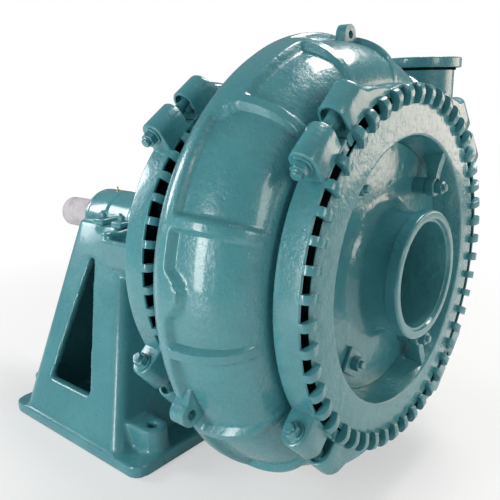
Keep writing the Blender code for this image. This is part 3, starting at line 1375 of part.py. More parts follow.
def add_adjusting_screw():
    """Screw fixed in the pedestal's rear wall, with the nuts that set and lock the cartridge's place."""
    head_front = PEDESTAL_REAR_X - GAP
    head_rear = head_front - ADJUST_HEAD
    centre = (0.0, 0.0, ADJUST_Z)
    hex_r = hex_radius(ADJUST_HEAD_FLATS)
    profile = [
        (head_rear, 0.0),
        (head_rear, hex_r),
        (head_front, hex_r),
        (head_front, ADJUST_R),
        (ADJUST_END_X, ADJUST_R),
        (ADJUST_END_X, 0.0),
    ]
    add_piece("adjusting_screw", [lathe(profile, HEX_SIDES, "X", centre)], STEEL, 0.8, 0.35)
    bore = ADJUST_R + GAP
    rear_face = ADJUST_LUG_X - GAP
    front_face = ADJUST_LUG_X + ADJUST_LUG_THICKNESS + GAP
    rear_nut = hex_nut(rear_face - ADJUST_NUT, rear_face, ADJUST_HEAD_FLATS, bore, "X", centre)
    add_piece("adjusting_nut_rear", [rear_nut], STEEL, 0.8, 0.35)
    front_nut = hex_nut(front_face, front_face + ADJUST_NUT, ADJUST_HEAD_FLATS, bore, "X", centre)
    add_piece("adjusting_nut_front", [front_nut], STEEL, 0.8, 0.35)


add_base_frame()
add_clamp_ring("front", COVER_FACE_X + GAP - CLAW_BACK_X, FRONT_SPLITS)
add_clamp_ring("rear", REAR_GROOVE_X + GAP - CLAW_BACK_X, REAR_SPLITS)
add_pump_casing()
add_front_cover()
add_suction_liner()
add_liner_fasteners()
add_frame_plate()
add_rear_liner()
add_stuffing_box()
add_rotor()
add_bearings()
add_bearing_housing()
add_foot_fasteners()
add_adjusting_screw()
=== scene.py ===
"""Finish of a horizontal slurry pump: glossy green-blue enamel over rough castings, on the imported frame."""

import json
import math

import bmesh
import bpy
import numpy as np
from mathutils import Matrix, Vector

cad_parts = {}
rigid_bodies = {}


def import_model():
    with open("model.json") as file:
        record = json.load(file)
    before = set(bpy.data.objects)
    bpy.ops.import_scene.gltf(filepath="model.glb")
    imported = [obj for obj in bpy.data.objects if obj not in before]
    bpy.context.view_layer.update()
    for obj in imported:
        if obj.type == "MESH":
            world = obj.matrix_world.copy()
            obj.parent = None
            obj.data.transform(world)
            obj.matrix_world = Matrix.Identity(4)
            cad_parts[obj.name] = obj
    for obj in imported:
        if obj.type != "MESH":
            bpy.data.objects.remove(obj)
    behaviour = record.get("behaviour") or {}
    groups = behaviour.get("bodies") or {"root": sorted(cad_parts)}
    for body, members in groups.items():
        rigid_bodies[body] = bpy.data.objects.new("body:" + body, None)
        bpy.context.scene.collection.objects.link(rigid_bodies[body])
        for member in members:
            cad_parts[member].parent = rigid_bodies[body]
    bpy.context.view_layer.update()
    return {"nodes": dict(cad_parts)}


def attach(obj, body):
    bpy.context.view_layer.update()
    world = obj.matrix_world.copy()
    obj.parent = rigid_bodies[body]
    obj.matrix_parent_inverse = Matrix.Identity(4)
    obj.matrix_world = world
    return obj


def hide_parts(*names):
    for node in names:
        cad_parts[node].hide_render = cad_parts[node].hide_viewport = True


for old in list(bpy.data.objects):
    bpy.data.objects.remove(old, do_unlink=True)
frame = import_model()


# Camera, floor and light
# The photograph's place and lens, and a pale floor that keeps the shadow. Tall window lights stand at the
# front and the left, a soft light overhead, a warm wall behind and a weak light at the front right.
photo_pixels = 500.0
focal_pixels = 598.7
principal_x = 251.2
principal_y = 263.66
sensor_width = 36.0
camera_place = Vector((1.6749, -1.4425, 1.1455))
camera_yaw = math.radians(40.628)
camera_pitch = math.radians(15.953)
camera_roll = math.radians(-1.284)


def placed(name, data):
    """New object of the scene that holds the data."""
    made = bpy.data.objects.new(name, data)
    bpy.context.scene.collection.objects.link(made)
    return made


lens = bpy.data.cameras.new("photo_lens")
lens.sensor_width = sensor_width
lens.lens = sensor_width * focal_pixels / photo_pixels
lens.shift_x = -(principal_x / photo_pixels - 0.5)
lens.shift_y = principal_y / photo_pixels - 0.5
camera = placed("photo_camera", lens)
back = Vector(
    (
        math.sin(camera_yaw) * math.cos(camera_pitch),
        -math.cos(camera_yaw) * math.cos(camera_pitch),
        math.sin(camera_pitch),
    )
)
right = (-back).cross(Vector((0.0, 0.0, 1.0))).normalized()
above = right.cross(-back)
rolled_right = math.cos(camera_roll) * right + math.sin(camera_roll) * above
rolled_up = math.cos(camera_roll) * above - math.sin(camera_roll) * right
camera_turn = Matrix((rolled_right, rolled_up, back)).transposed().to_4x4()
camera.matrix_world = Matrix.Translation(camera_place) @ camera_turn
bpy.context.scene.camera = camera
bpy.context.scene.view_settings.view_transform = "Standard"

floor_reach = 30.0
floor_colour = (0.86, 0.86, 0.85, 1.0)
floor_fade_near = 0.9
floor_fade_far = 2.4
floor_fade_least = 0.45
floor_mesh = bpy.data.meshes.new("pale_floor")
floor_corners = [(-floor_reach, -floor_reach, 0.0), (floor_reach, -floor_reach, 0.0)]
floor_corners += [(floor_reach, floor_reach, 0.0), (-floor_reach, floor_reach, 0.0)]
floor_mesh.from_pydata(floor_corners, [], [(0, 1, 2, 3)])
floor = placed("pale_floor", floor_mesh)
floor_paint = bpy.data.materials.new("pale_floor")
floor_paint.use_nodes = True
floor_nodes = floor_paint.node_tree.nodes
floor_links = floor_paint.node_tree.links
floor_shader = floor_nodes["Principled BSDF"]
floor_shader.inputs["Base Color"].default_value = floor_colour
floor_shader.inputs["Roughness"].default_value = 0.9
floor_shader.inputs["Specular IOR Level"].default_value = 0.1
far_white = floor_nodes.new("ShaderNodeEmission")
floor_point = floor_nodes.new("ShaderNodeTexCoord")
floor_distance = floor_nodes.new("ShaderNodeVectorMath")
floor_distance.operation = "LENGTH"
floor_fade = floor_nodes.new("ShaderNodeMapRange")
floor_fade.inputs["From Min"].default_value = floor_fade_near
floor_fade.inputs["From Max"].default_value = floor_fade_far
floor_fade.inputs["To Min"].default_value = floor_fade_least
floor_eye = floor_nodes.new("ShaderNodeLightPath")
floor_share = floor_nodes.new("ShaderNodeMath")
floor_share.operation = "MULTIPLY"
floor_mix = floor_nodes.new("ShaderNodeMixShader")
for source, target in (
    (floor_point.outputs["Object"], floor_distance.inputs[0]),
    (floor_distance.outputs["Value"], floor_fade.inputs["Value"]),
    (floor_fade.outputs["Result"], floor_share.inputs[0]),
    (floor_eye.outputs["Is Camera Ray"], floor_share.inputs[1]),
    (floor_share.outputs["Value"], floor_mix.inputs["Fac"]),
    (floor_shader.outputs["BSDF"], floor_mix.inputs[1]),
    (far_white.outputs["Emission"], floor_mix.inputs[2]),
    (floor_mix.outputs["Shader"], floor_nodes["Material Output"].inputs["Surface"]),
):
    floor_links.new(source, target)
floor_mesh.materials.append(floor_paint)

sky_colour = (0.93, 0.96, 1.0, 1.0)
sky_strength = 0.21
world = bpy.data.worlds.new("soft_studio")
bpy.context.scene.world = world
world.use_nodes = True
sky_nodes = world.node_tree.nodes
sky_links = world.node_tree.links
sky = sky_nodes["Background"]
sky.inputs["Color"].default_value = sky_colour
sky.inputs["Strength"].default_value = sky_strength
white_back = sky_nodes.new("ShaderNodeBackground")
white_back.inputs["Color"].default_value = (1.0, 1.0, 1.0, 1.0)
white_back.inputs["Strength"].default_value = 1.0
seen_by_eye = sky_nodes.new("ShaderNodeLightPath")
choose = sky_nodes.new("ShaderNodeMixShader")
sky_links.new(seen_by_eye.outputs["Is Camera Ray"], choose.inputs["Fac"])
sky_links.new(sky.outputs["Background"], choose.inputs[1])
sky_links.new(white_back.outputs["Background"], choose.inputs[2])
sky_links.new(choose.outputs["Shader"], sky_nodes["World Output"].inputs["Surface"])

light_aim = Vector((0.45, -0.05, 0.65))
# Name, place, width, height, power and colour of each area lamp
lamps = (
    ("window_front", (0.05, -3.6, 1.35), 0.75, 2.2, 70.0, (1.0, 0.99, 0.97)),
    ("window_left", (-3.2, -1.6, 2.4), 1.0, 1.6, 60.0, (0.94, 0.98, 1.0)),
    ("overhead", (0.9, 1.9, 3.8), 1.5, 1.5, 102.0, (1.0, 0.99, 0.97)),
    ("warm_wall", (2.9, 3.5, 1.3), 2.4, 1.8, 46.0, (1.0, 0.82, 0.70)),
    ("front_right", (4.6, -0.6, 2.0), 1.2, 1.6, 36.0, (1.0, 0.95, 0.88)),
)
for lamp_name, lamp_place, lamp_width, lamp_height, lamp_power, lamp_colour in lamps:
    lamp = bpy.data.lights.new(lamp_name, "AREA")
    lamp.shape = "RECTANGLE"
    lamp.size = lamp_width
    lamp.size_y = lamp_height
    lamp.energy = lamp_power
    lamp.color = lamp_colour
    holder = placed(lamp_name, lamp)
    holder.location = lamp_place
    holder.rotation_mode = "QUATERNION"
    holder.rotation_quaternion = (light_aim - holder.location).to_track_quat("-Z", "Y")


# Base frame
# One iron casting: base plate, hollow pedestal, anchor bosses, trough and ring flange. Its corners are
# rounded as the sand mould leaves them, and it is brushed with glossy enamel.
teal = (0.060, 0.255, 0.290, 1.0)
teal_light = (0.090, 0.315, 0.350, 1.0)
teal_grime = (0.045, 0.145, 0.160, 1.0)
frame_voxel = 0.0065
frame_smoothing = 6
frame_smoothing_share = 0.5
frame_kept_share = 0.42
weld_distance = 0.00001
smooth_limit = math.radians(38.0)
enamel_bump = 0.75
enamel_coat = 0.55
enamel_coat_roughness = 0.09


def skin_group(name, inputs):
    """Shader group with its own inputs, and the outputs and surface point that each finish uses."""
    group = bpy.data.node_groups.new(name, "ShaderNodeTree")
    for socket_name, value in inputs.items():
        kind = "NodeSocketColor" if isinstance(value, tuple) else "NodeSocketFloat"
        socket = group.interface.new_socket(name=socket_name, in_out="INPUT", socket_type=kind)
        socket.default_value = value
    for socket_name in ("Color", "Roughness", "Height"):
        kind = "NodeSocketColor" if socket_name == "Color" else "NodeSocketFloat"
        group.interface.new_socket(name=socket_name, in_out="OUTPUT", socket_type=kind)
    given = group.nodes.new("NodeGroupInput").outputs
    result = group.nodes.new("NodeGroupOutput").inputs
    return group, given, result, group.nodes.new("ShaderNodeTexCoord").outputs["Object"]


def add_noise(tree, point, scale, detail, roughness):
    """Noise texture on object coordinates, with its scale from a socket or a number."""
    noise = tree.nodes.new("ShaderNodeTexNoise")
    noise.inputs["Detail"].default_value = detail
    noise.inputs["Roughness"].default_value = roughness
    tree.links.new(point, noise.inputs["Vector"])
    if isinstance(scale, float):
        noise.inputs["Scale"].default_value = scale
    else:
        tree.links.new(scale, noise.inputs["Scale"])
    return noise.outputs["Fac"]


def add_range(tree, value, low, high, to_low, to_high):
    """Maps a value's range to another one."""
    node = tree.nodes.new("ShaderNodeMapRange")
    tree.links.new(value, node.inputs["Value"])
    limits = {"From Min": low, "From Max": high, "To Min": to_low, "To Max": to_high}
    for socket_name, limit in limits.items():
        node.inputs[socket_name].default_value = limit
    return node.outputs["Result"]


def add_mix(tree, share, first, second):
    """Mixes two colours by a share, each a socket or a value."""
    node = tree.nodes.new("ShaderNodeMix")
    node.data_type = "RGBA"
    tree.links.new(share, node.inputs["Factor"])
    for socket_name, colour in (("A", first), ("B", second)):
        socket = [entry for entry in node.inputs if entry.name == socket_name and entry.type == "RGBA"][0]
        if isinstance(colour, tuple):
            socket.default_value = colour
        else:
            tree.links.new(colour, socket)
    return [entry for entry in node.outputs if entry.type == "RGBA"][0]


def add_math(tree, operation, first, second):
    """One step of arithmetic, each side a socket or a number."""
    node = tree.nodes.new("ShaderNodeMath")
    node.operation = operation
    for socket, value in zip(node.inputs, (first, second)):
        if isinstance(value, float):
            socket.default_value = value
        else:
            tree.links.new(value, socket)
    return node.outputs["Value"]


enamel, given, result, surface_point = skin_group(
    "enamel_on_casting",
    {
        "Paint": teal,
        "Thin Paint": teal_light,
        "Grime": teal_grime,
        "Cloud Scale": 5.0,
        "Grain Scale": 150.0,
        "Ripple Scale": 28.0,
        "Grain": 0.35,
        "Gloss": 0.24,
    },
)
cloud = add_noise(enamel, surface_point, given["Cloud Scale"], detail=4.0, roughness=0.6)
ripple = add_noise(enamel, surface_point, given["Ripple Scale"], detail=3.0, roughness=0.55)
grain = add_noise(enamel, surface_point, given["Grain Scale"], detail=3.0, roughness=0.6)
thin_share = add_range(enamel, cloud, low=0.42, high=0.72, to_low=0.0, to_high=0.8)
grime_share = add_range(enamel, ripple, low=0.56, high=0.78, to_low=0.0, to_high=0.32)
painted = add_mix(enamel, thin_share, given["Paint"], given["Thin Paint"])
enamel.links.new(add_mix(enamel, grime_share, painted, given["Grime"]), result["Color"])
uneven_gloss = add_range(enamel, ripple, low=0.3, high=0.7, to_low=-0.05, to_high=0.10)
enamel.links.new(add_math(enamel, "ADD", given["Gloss"], uneven_gloss), result["Roughness"])
fine_height = add_math(enamel, "MULTIPLY", grain, given["Grain"])
enamel.links.new(add_math(enamel, "ADD", ripple, fine_height), result["Height"])


def skinned(name, group, relief, bump_strength, values):
    """Material whose colour, roughness and relief come from a group with the material's own values."""
    made = bpy.data.materials.new(name)
    made.use_nodes = True
    tree = made.node_tree
    shader = tree.nodes["Principled BSDF"]
    skin = tree.nodes.new("ShaderNodeGroup")
    skin.node_tree = group
    for socket_name, value in values.items():
        skin.inputs[socket_name.replace("_", " ")].default_value = value
    bump = tree.nodes.new("ShaderNodeBump")
    bump.inputs["Distance"].default_value = relief
    bump.inputs["Strength"].default_value = bump_strength
    tree.links.new(skin.outputs["Color"], shader.inputs["Base Color"])
    tree.links.new(skin.outputs["Roughness"], shader.inputs["Roughness"])
    tree.links.new(skin.outputs["Height"], bump.inputs["Height"])
    tree.links.new(bump.outputs["Normal"], shader.inputs["Normal"])
    return made, shader


def enamelled(name, relief=0.0022, **values):
    """Glossy enamel of one kind of piece."""
    made, shader = skinned(name, enamel, relief, enamel_bump, values)
    shader.inputs["Coat Weight"].default_value = enamel_coat
    shader.inputs["Coat Roughness"].default_value = enamel_coat_roughness
    return made


def dressed(name, mesh, material, *nodes, body="pump_unit", slot="teal_enamel"):
    """Finished piece from a mesh: smooth where it is round, on its body, in place of its nodes."""
    mesh.materials.clear()
    mesh.materials.append(material)
    mesh.polygons.foreach_set("use_smooth", [True] * len(mesh.polygons))
    mesh.set_sharp_from_angle(angle=smooth_limit)
    piece = placed(name, mesh)
    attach(piece, body)
    if nodes:
        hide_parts(*nodes)


def evaluated_mesh(holder):
    """Plain mesh of an object with its modifiers applied. The object itself is removed."""
    bpy.context.view_layer.update()
    evaluated = holder.evaluated_get(bpy.context.evaluated_depsgraph_get())
    made = bpy.data.meshes.new_from_object(evaluated)
    bpy.data.objects.remove(holder, do_unlink=True)
    return made


def applied(mesh, label, *steps):
    """Mesh with modifiers applied, each given as its kind and its settings."""
    holder = placed(label, mesh)
    for kind, settings in steps:
        step = holder.modifiers.new(kind.lower(), kind)
        for setting, value in settings.items():
            setattr(step, setting, value)
    return evaluated_mesh(holder)


def mesh_from(work, name):
    """New mesh from an edit mesh, which is freed."""
    mesh = bpy.data.meshes.new(name)
    work.to_mesh(mesh)
    work.free()
    return mesh


def merged_copy(node):
    """Copy of a CAD node's mesh with its loose triangles joined."""
    work = bmesh.new()
    work.from_mesh(frame["nodes"][node].data)
    bmesh.ops.remove_doubles(work, verts=work.verts, dist=weld_distance)
    return mesh_from(work, node)


casting_enamel = enamelled("frame_enamel", Cloud_Scale=4.0, Grain_Scale=170.0, Gloss=0.30, Grain=0.5)
frame_mesh = applied(
    merged_copy("base_frame"),
    "base_frame_casting",
    ("REMESH", {"mode": "VOXEL", "voxel_size": frame_voxel}),
    ("SMOOTH", {"factor": frame_smoothing_share, "iterations": frame_smoothing}),
    ("DECIMATE", {"ratio": frame_kept_share}),
)
dressed("base_frame_casting", frame_mesh, casting_enamel, "base_frame")


# Frame plate and its bolts
# Thick iron plate between the pedestal's ring flange and the casing, held by hexagon bolts from behind.
# Stations along the shaft are measured from the casing's mid-plane, heights from the shaft's axis.
shaft_centre = Vector((0.696, 0.0, 0.672))
plate_rear = -0.2807
plate_seat = -0.2523
plate_front = -0.200
plate_web = -0.232
plate_rim_r = 0.388
plate_outer_r = 0.456
plate_spigot_r = 0.3997
plate_hub_bore = 0.1103
plate_hub_r = 0.142
plate_rib_inner_r = 0.260
plate_rib_outer_r = 0.345
plate_steps = 128
ring_flange_rear = -0.3113
plate_bolt_count = 12
plate_bolt_first_angle = 15.0
plate_bolt_circle = 0.300
plate_bolt_flats = 0.030
plate_bolt_height = 0.014
corner_share = 0.45
hexagon_levels = (0.35, 0.7, 1.0)
hexagon_cone_share = 0.97
hexagon_cone_slope = 1.9


def softened(loop, radius, steps=4):
    """Closed or open outline whose corners are eased, with one radius or one for each corner."""
    radii = radius if isinstance(radius, (list, tuple)) else [radius] * len(loop)
    eased = []
    for index, corner in enumerate(loop):
        here = Vector(corner)
        if radii[index] <= 0.0:
            eased.append(tuple(here))
            continue
        before = Vector(loop[index - 1]) - here
        after = Vector(loop[(index + 1) % len(loop)]) - here
        reach = min(radii[index], corner_share * before.length, corner_share * after.length)
        start = here + before.normalized() * reach
        end = here + after.normalized() * reach
        for step in range(steps + 1):
            share = step / steps
            place = (1 - share) ** 2 * start + 2 * share * (1 - share) * here + share**2 * end
            eased.append(tuple(place))
    return eased


def grid_mesh(name, rows, wrap_rows, wrap_columns, caps=False):
    """Mesh through rows of points, closed across where asked, with faces outward."""
    rows = np.asarray(rows, float)
    row_count, column_count = rows.shape[:2]
    numbers = np.arange(row_count * column_count).reshape(row_count, column_count)
    faces = []
    for row in range(row_count if wrap_rows else row_count - 1):
        near = numbers[row]
        far = numbers[(row + 1) % row_count]
        for column in range(column_count if wrap_columns else column_count - 1):
            beside = (column + 1) % column_count
            faces.append((near[column], near[beside], far[beside], far[column]))
    faces = [tuple(int(corner) for corner in face) for face in faces]
    if caps:
        faces.append(tuple(int(corner) for corner in numbers[0]))
        faces.append(tuple(int(corner) for corner in numbers[-1]))
    mesh = bpy.data.meshes.new(name)
    mesh.from_pydata(rows.reshape(-1, 3).tolist(), [], faces)
    work = bmesh.new()
    work.from_mesh(mesh)
    bmesh.ops.remove_doubles(work, verts=work.verts, dist=weld_distance)
    bmesh.ops.dissolve_degenerate(work, edges=work.edges, dist=weld_distance)
    bmesh.ops.recalc_face_normals(work, faces=work.faces)
    work.to_mesh(mesh)
    work.free()
    return mesh


def turned_mesh(name, loop, steps, centre=shaft_centre, axis="X"):
    """Mesh turned from a closed loop of (along, radius)."""
    rows = []
    for step in range(steps):
        angle = 2 * math.pi * step / steps
        cosine = math.cos(angle)
        sine = math.sin(angle)
        ring = []
        for along, radius in loop:
            if axis == "X":
                ring.append((centre[0] + along, centre[1] + radius * cosine, centre[2] + radius * sine))
            else:
                ring.append((centre[0] + radius * cosine, centre[1] + radius * sine, centre[2] + along))
        rows.append(ring)
    return grid_mesh(name, rows, True, True)


def joined(name, *meshes):
    """One mesh from several."""
    work = bmesh.new()
    for mesh in meshes:
        work.from_mesh(mesh)
    return mesh_from(work, name)


def moved(mesh, matrix):
    """Copy of a mesh, moved, with its faces still outward."""
    made = mesh.copy()
    made.transform(matrix)
    if matrix.determinant() < 0:
        made.flip_normals()
    return made


def about_shaft(angle):
    """Turn about the shaft's axis, in degrees, from the +Y side over the top."""
    turn = Matrix.Rotation(math.radians(angle), 4, "X")
    return Matrix.Translation(shaft_centre) @ turn @ Matrix.Translation(-shaft_centre)


def hexagon_mesh(name, flats, height, bore=0.0, chamfer=0.0022, steps=48):
    """Hexagon nut or bolt head that stands on the plane X = 0, with its corners turned off by a cone."""
    levels = [0.0] + [chamfer * share for share in hexagon_levels]
    levels += [height - level for level in reversed(levels)]
    angles = [2 * math.pi * step / steps for step in range(steps)]
    rows = []
    for level in levels:
        edge = min(level, height - level)
        cone = flats / 2 * hexagon_cone_share + edge * hexagon_cone_slope
        ring = []
        for angle in angles:
            fold = (math.degrees(angle) % 60.0) - 30.0
            radius = min(flats / 2 / math.cos(math.radians(fold)), cone)
            ring.append((level, radius * math.cos(angle), radius * math.sin(angle)))
        rows.append(ring)
    if bore > 0.0:
        for level in (height, 0.0):
            rows.append([(level, bore * math.cos(angle), bore * math.sin(angle)) for angle in angles])
    return grid_mesh(name, rows, bore > 0.0, True, caps=bore == 0.0)


def ring_of_copies(name):
    """Geometry node tree that sets copies of the piece round the shaft's axis."""
    tree = bpy.data.node_groups.new(name, "GeometryNodeTree")
    for socket_name, in_out, kind in (
        ("Geometry", "INPUT", "NodeSocketGeometry"),
        ("Count", "INPUT", "NodeSocketInt"),
        ("First Angle", "INPUT", "NodeSocketFloat"),
        ("Pitch", "INPUT", "NodeSocketFloat"),
        ("Centre", "INPUT", "NodeSocketVector"),
        ("Finish", "INPUT", "NodeSocketMaterial"),
        ("Geometry", "OUTPUT", "NodeSocketGeometry"),
    ):
        tree.interface.new_socket(name=socket_name, in_out=in_out, socket_type=kind)
    start = tree.nodes.new("NodeGroupInput")
    points = tree.nodes.new("GeometryNodeMeshLine")
    index = tree.nodes.new("GeometryNodeInputIndex")
    step_angle = tree.nodes.new("ShaderNodeMath")
    step_angle.operation = "MULTIPLY_ADD"
    turn = tree.nodes.new("ShaderNodeCombineXYZ")
    copies = tree.nodes.new("GeometryNodeInstanceOnPoints")
    real = tree.nodes.new("GeometryNodeRealizeInstances")
    colour = tree.nodes.new("GeometryNodeSetMaterial")
    end = tree.nodes.new("NodeGroupOutput")
    for source, target in (
        (start.outputs["Count"], points.inputs["Count"]),
        (start.outputs["Centre"], points.inputs["Start Location"]),
        (index.outputs["Index"], step_angle.inputs[0]),
        (start.outputs["Pitch"], step_angle.inputs[1]),
        (start.outputs["First Angle"], step_angle.inputs[2]),
        (step_angle.outputs["Value"], turn.inputs["X"]),
        (points.outputs["Mesh"], copies.inputs["Points"]),
        (start.outputs["Geometry"], copies.inputs["Instance"]),
        (turn.outputs["Vector"], copies.inputs["Rotation"]),
        (copies.outputs["Instances"], real.inputs["Geometry"]),
        (real.outputs["Geometry"], colour.inputs["Geometry"]),
        (start.outputs["Finish"], colour.inputs["Material"]),
        (colour.outputs["Geometry"], end.inputs["Geometry"]),
    ):
        tree.links.new(source, target)
    points.inputs["Offset"].default_value = (0.0, 0.0, 0.0)
    return tree


copies_round_shaft = ring_of_copies("copies_round_shaft")


def ring_mesh(name, mesh, count, first_angle, pitch, finish):
    """Plain mesh of equal copies round the shaft. The single piece is drawn at the +Y side of the origin."""
    holder = placed(name, mesh)
    step = holder.modifiers.new("copies", "NODES")
    step.node_group = copies_round_shaft
    values = {
        "Count": count,
        "First Angle": math.radians(first_angle),
        "Pitch": math.radians(pitch),
        "Centre": shaft_centre,
        "Finish": finish,
    }
    for entry in copies_round_shaft.interface.items_tree:
        if entry.name in values:
            step[entry.identifier] = values[entry.name]
    return evaluated_mesh(holder)


plate_enamel = enamelled("plate_enamel", Cloud_Scale=3.0, Gloss=0.34, Grain=0.5)
plate_loop = softened(
    [
        (plate_front, plate_hub_bore), (plate_front, plate_spigot_r), (plate_seat, plate_spigot_r),
        (plate_seat, plate_outer_r), (plate_rear, plate_outer_r), (plate_rear, plate_rim_r),
        (plate_web, plate_rim_r), (plate_web, plate_rib_outer_r), (plate_rear, plate_rib_outer_r),
        (plate_rear, plate_rib_inner_r), (plate_web, plate_rib_inner_r), (plate_web, plate_hub_r),
        (plate_rear, plate_hub_r), (plate_rear, plate_hub_bore),
    ],
    0.003,
)
plate_mesh = turned_mesh("frame_plate_turned", plate_loop, plate_steps)
dressed("frame_plate_turned", plate_mesh, plate_enamel, "frame_plate", slot="dark_enamel")
bolt_head = hexagon_mesh("plate_bolt_head", plate_bolt_flats, plate_bolt_height)
bolt_place = Matrix.Translation((ring_flange_rear - plate_bolt_height, plate_bolt_circle, 0.0))
bolt_ring = ring_mesh(
    "frame_plate_bolts",
    moved(bolt_head, bolt_place),
    plate_bolt_count,
    plate_bolt_first_angle,
    360.0 / plate_bolt_count,
    plate_enamel,
)
dressed("frame_plate_bolts", bolt_ring, plate_enamel, slot="dark_enamel")


# Bearing cartridge
# Cast barrel on four feet that slides on the pedestal's rails for the impeller's clearance. Its end covers
# are screwed on, studs with washers and nuts clamp its feet, and two grease nipples stand on top.
housing_rear = -0.995
housing_front = -0.585
housing_r = 0.115
housing_waist_r = 0.109
housing_pocket_r = 0.0925
housing_inner_r = 0.086
foot_stations = (-0.843, -0.737)
foot_top = 0.0423
foot_low = 0.0203
foot_stud_y = 0.149
foot_half_length = 0.028
foot_root_y = 0.094
foot_outer_y = 0.177
foot_bevel = 0.006
adjusting_lug_low = Vector((-0.900, -0.025, -0.165))
adjusting_lug_high = Vector((-0.875, 0.025, -0.095))
barrel_steps = 96
bearing_stations = (-0.940, -0.640)
seat_gap = 0.0003
cover_thickness = 0.017
cover_spigot_reach = 0.0253
cover_bore_r = 0.0735
cover_spigot_r = 0.0922
cover_spigot_bore_r = 0.0832
cover_screw_flats = 0.015
cover_screw_height = 0.007
cover_screw_circle = 0.103
cover_screw_count = 6
nipple_seat = 0.114

cartridge_enamel = enamelled("cartridge_enamel", Cloud_Scale=9.0, Grain_Scale=230.0, Gloss=0.22, Grain=0.3)
barrel_loop = softened(
    [
        (housing_rear, housing_r), (-0.895, housing_r), (-0.885, housing_waist_r),
        (-0.767, housing_waist_r), (-0.757, housing_r), (housing_front, housing_r),
        (housing_front, housing_pocket_r), (-0.6653, housing_pocket_r), (-0.6653, housing_inner_r),
        (-0.9147, housing_inner_r), (-0.9147, housing_pocket_r), (housing_rear, housing_pocket_r),
    ],
    0.003,
)
barrel = turned_mesh("bearing_barrel", barrel_loop, barrel_steps)


def block_mesh(name, low, high, bevel=0.003):
    """Block between two corners, with eased edges."""
    work = bmesh.new()
    bmesh.ops.create_cube(work, size=1.0)
    for corner in work.verts:
        corner.co = Vector([(a + b) / 2 + share * (b - a) for a, b, share in zip(low, high, corner.co)])
    return applied(mesh_from(work, name), name, ("BEVEL", {"width": bevel, "segments": 3}))


feet = []
for station in foot_stations:
    for side in (-1, 1):
        ends = sorted((side * foot_root_y, side * foot_outer_y))
        x = shaft_centre.x + station
        low = (x - foot_half_length, ends[0], shaft_centre.z + foot_low)
        high = (x + foot_half_length, ends[1], shaft_centre.z + foot_top)
        feet.append(block_mesh("bearing_foot", low, high, foot_bevel))
lug_corners = (shaft_centre + adjusting_lug_low, shaft_centre + adjusting_lug_high)
adjusting_lug = block_mesh("adjusting_lug", *lug_corners)
name = "bearing_housing_casting"
housing_mesh = joined(name, barrel, adjusting_lug, *feet)
dressed(name, housing_mesh, cartridge_enamel, "bearing_housing", body="bearing_cartridge")
cover_seats = (("drive", -1, housing_rear), ("pump", 1, housing_front))
for (label, side, seat), bearing in zip(cover_seats, bearing_stations):
    near = seat + side * seat_gap
    far = near + side * cover_thickness
    tip = bearing + side * cover_spigot_reach
    cover_loop = softened(
        [
            (far, cover_bore_r), (far, housing_r), (near, housing_r), (near, cover_spigot_r),
            (tip, cover_spigot_r), (tip, cover_spigot_bore_r), (near, cover_spigot_bore_r),
            (near, cover_bore_r),
        ],
        0.003,
    )
    name = f"{label}_end_cover_turned"
    cover_mesh = turned_mesh(name, cover_loop, barrel_steps)
    dressed(name, cover_mesh, cartridge_enamel, f"{label}_end_cover", body="bearing_cartridge")
    screw_seat = far if side > 0 else far - cover_screw_height
    screw = hexagon_mesh("cover_screw", cover_screw_flats, cover_screw_height)
    screw = moved(screw, Matrix.Translation((screw_seat, cover_screw_circle, 0.0)))
    name = f"{label}_cover_screws"
    screws = ring_mesh(name, screw, cover_screw_count, 30.0, 360.0 / cover_screw_count, cartridge_enamel)
    dressed(name, screws, cartridge_enamel, body="bearing_cartridge")


def upright(mesh, place):
    """Copy of a piece drawn along +X from the origin, set on end at a place."""
    return moved(mesh, Matrix.Translation(place) @ Matrix.Rotation(-math.pi / 2, 4, "Y"))


def threaded_loop(start, end, radius, thread_start, pitch=0.0022, depth=0.0008, chamfer=0.002):
    """Loop of a round bar with thread grooves from a station to its end, and a chamfer."""
    loop = [(start, 0.0), (start, radius), (thread_start, radius)]
    station = thread_start
    while station + pitch < end - chamfer:
        loop += [(station + pitch * 0.5, radius - depth), (station + pitch, radius)]
        station += pitch
    loop += [(end - chamfer, radius), (end, radius - chamfer), (end, 0.0)]
    return loop


origin = Vector((0.0, 0.0, 0.0))


def bolt_mesh(name, start, end, radius, nut_start, nut_flats, nut_height, washer_r=0.0, washer_height=0.0):
    """Stud along +X with its nut, and a washer under the nut where it has one."""
    thread_start = nut_start + nut_height - 0.001
    nut = hexagon_mesh(name, nut_flats, nut_height, radius)
    parts = [turned_mesh(name, threaded_loop(start, end, radius, thread_start), 24, origin)]
    parts.append(moved(nut, Matrix.Translation((nut_start, 0, 0))))
    if washer_r:
        rim = nut_start - washer_height
        loop = [(rim, radius), (rim, washer_r), (nut_start, washer_r), (nut_start, radius)]
        parts.append(turned_mesh(name, softened(loop, 0.0008, 2), 40, origin))
    return joined(name, *parts)


clamp_stud = bolt_mesh(
    "housing_clamp_stud",
    start=-0.030,
    end=0.0699,
    radius=0.008,
    nut_start=0.0459,
    nut_flats=0.024,
    nut_height=0.015,
    washer_r=0.016,
    washer_height=0.003,
)
clamp_places = [(station, side * foot_stud_y) for station in foot_stations for side in (-1, 1)]
for number, (station, y) in enumerate(clamp_places, 1):
    bolt = upright(clamp_stud, (shaft_centre.x + station, y, shaft_centre.z))
    dressed(f"housing_clamp_bolt_{number}", bolt, cartridge_enamel, f"housing_clamp_stud_{number}")

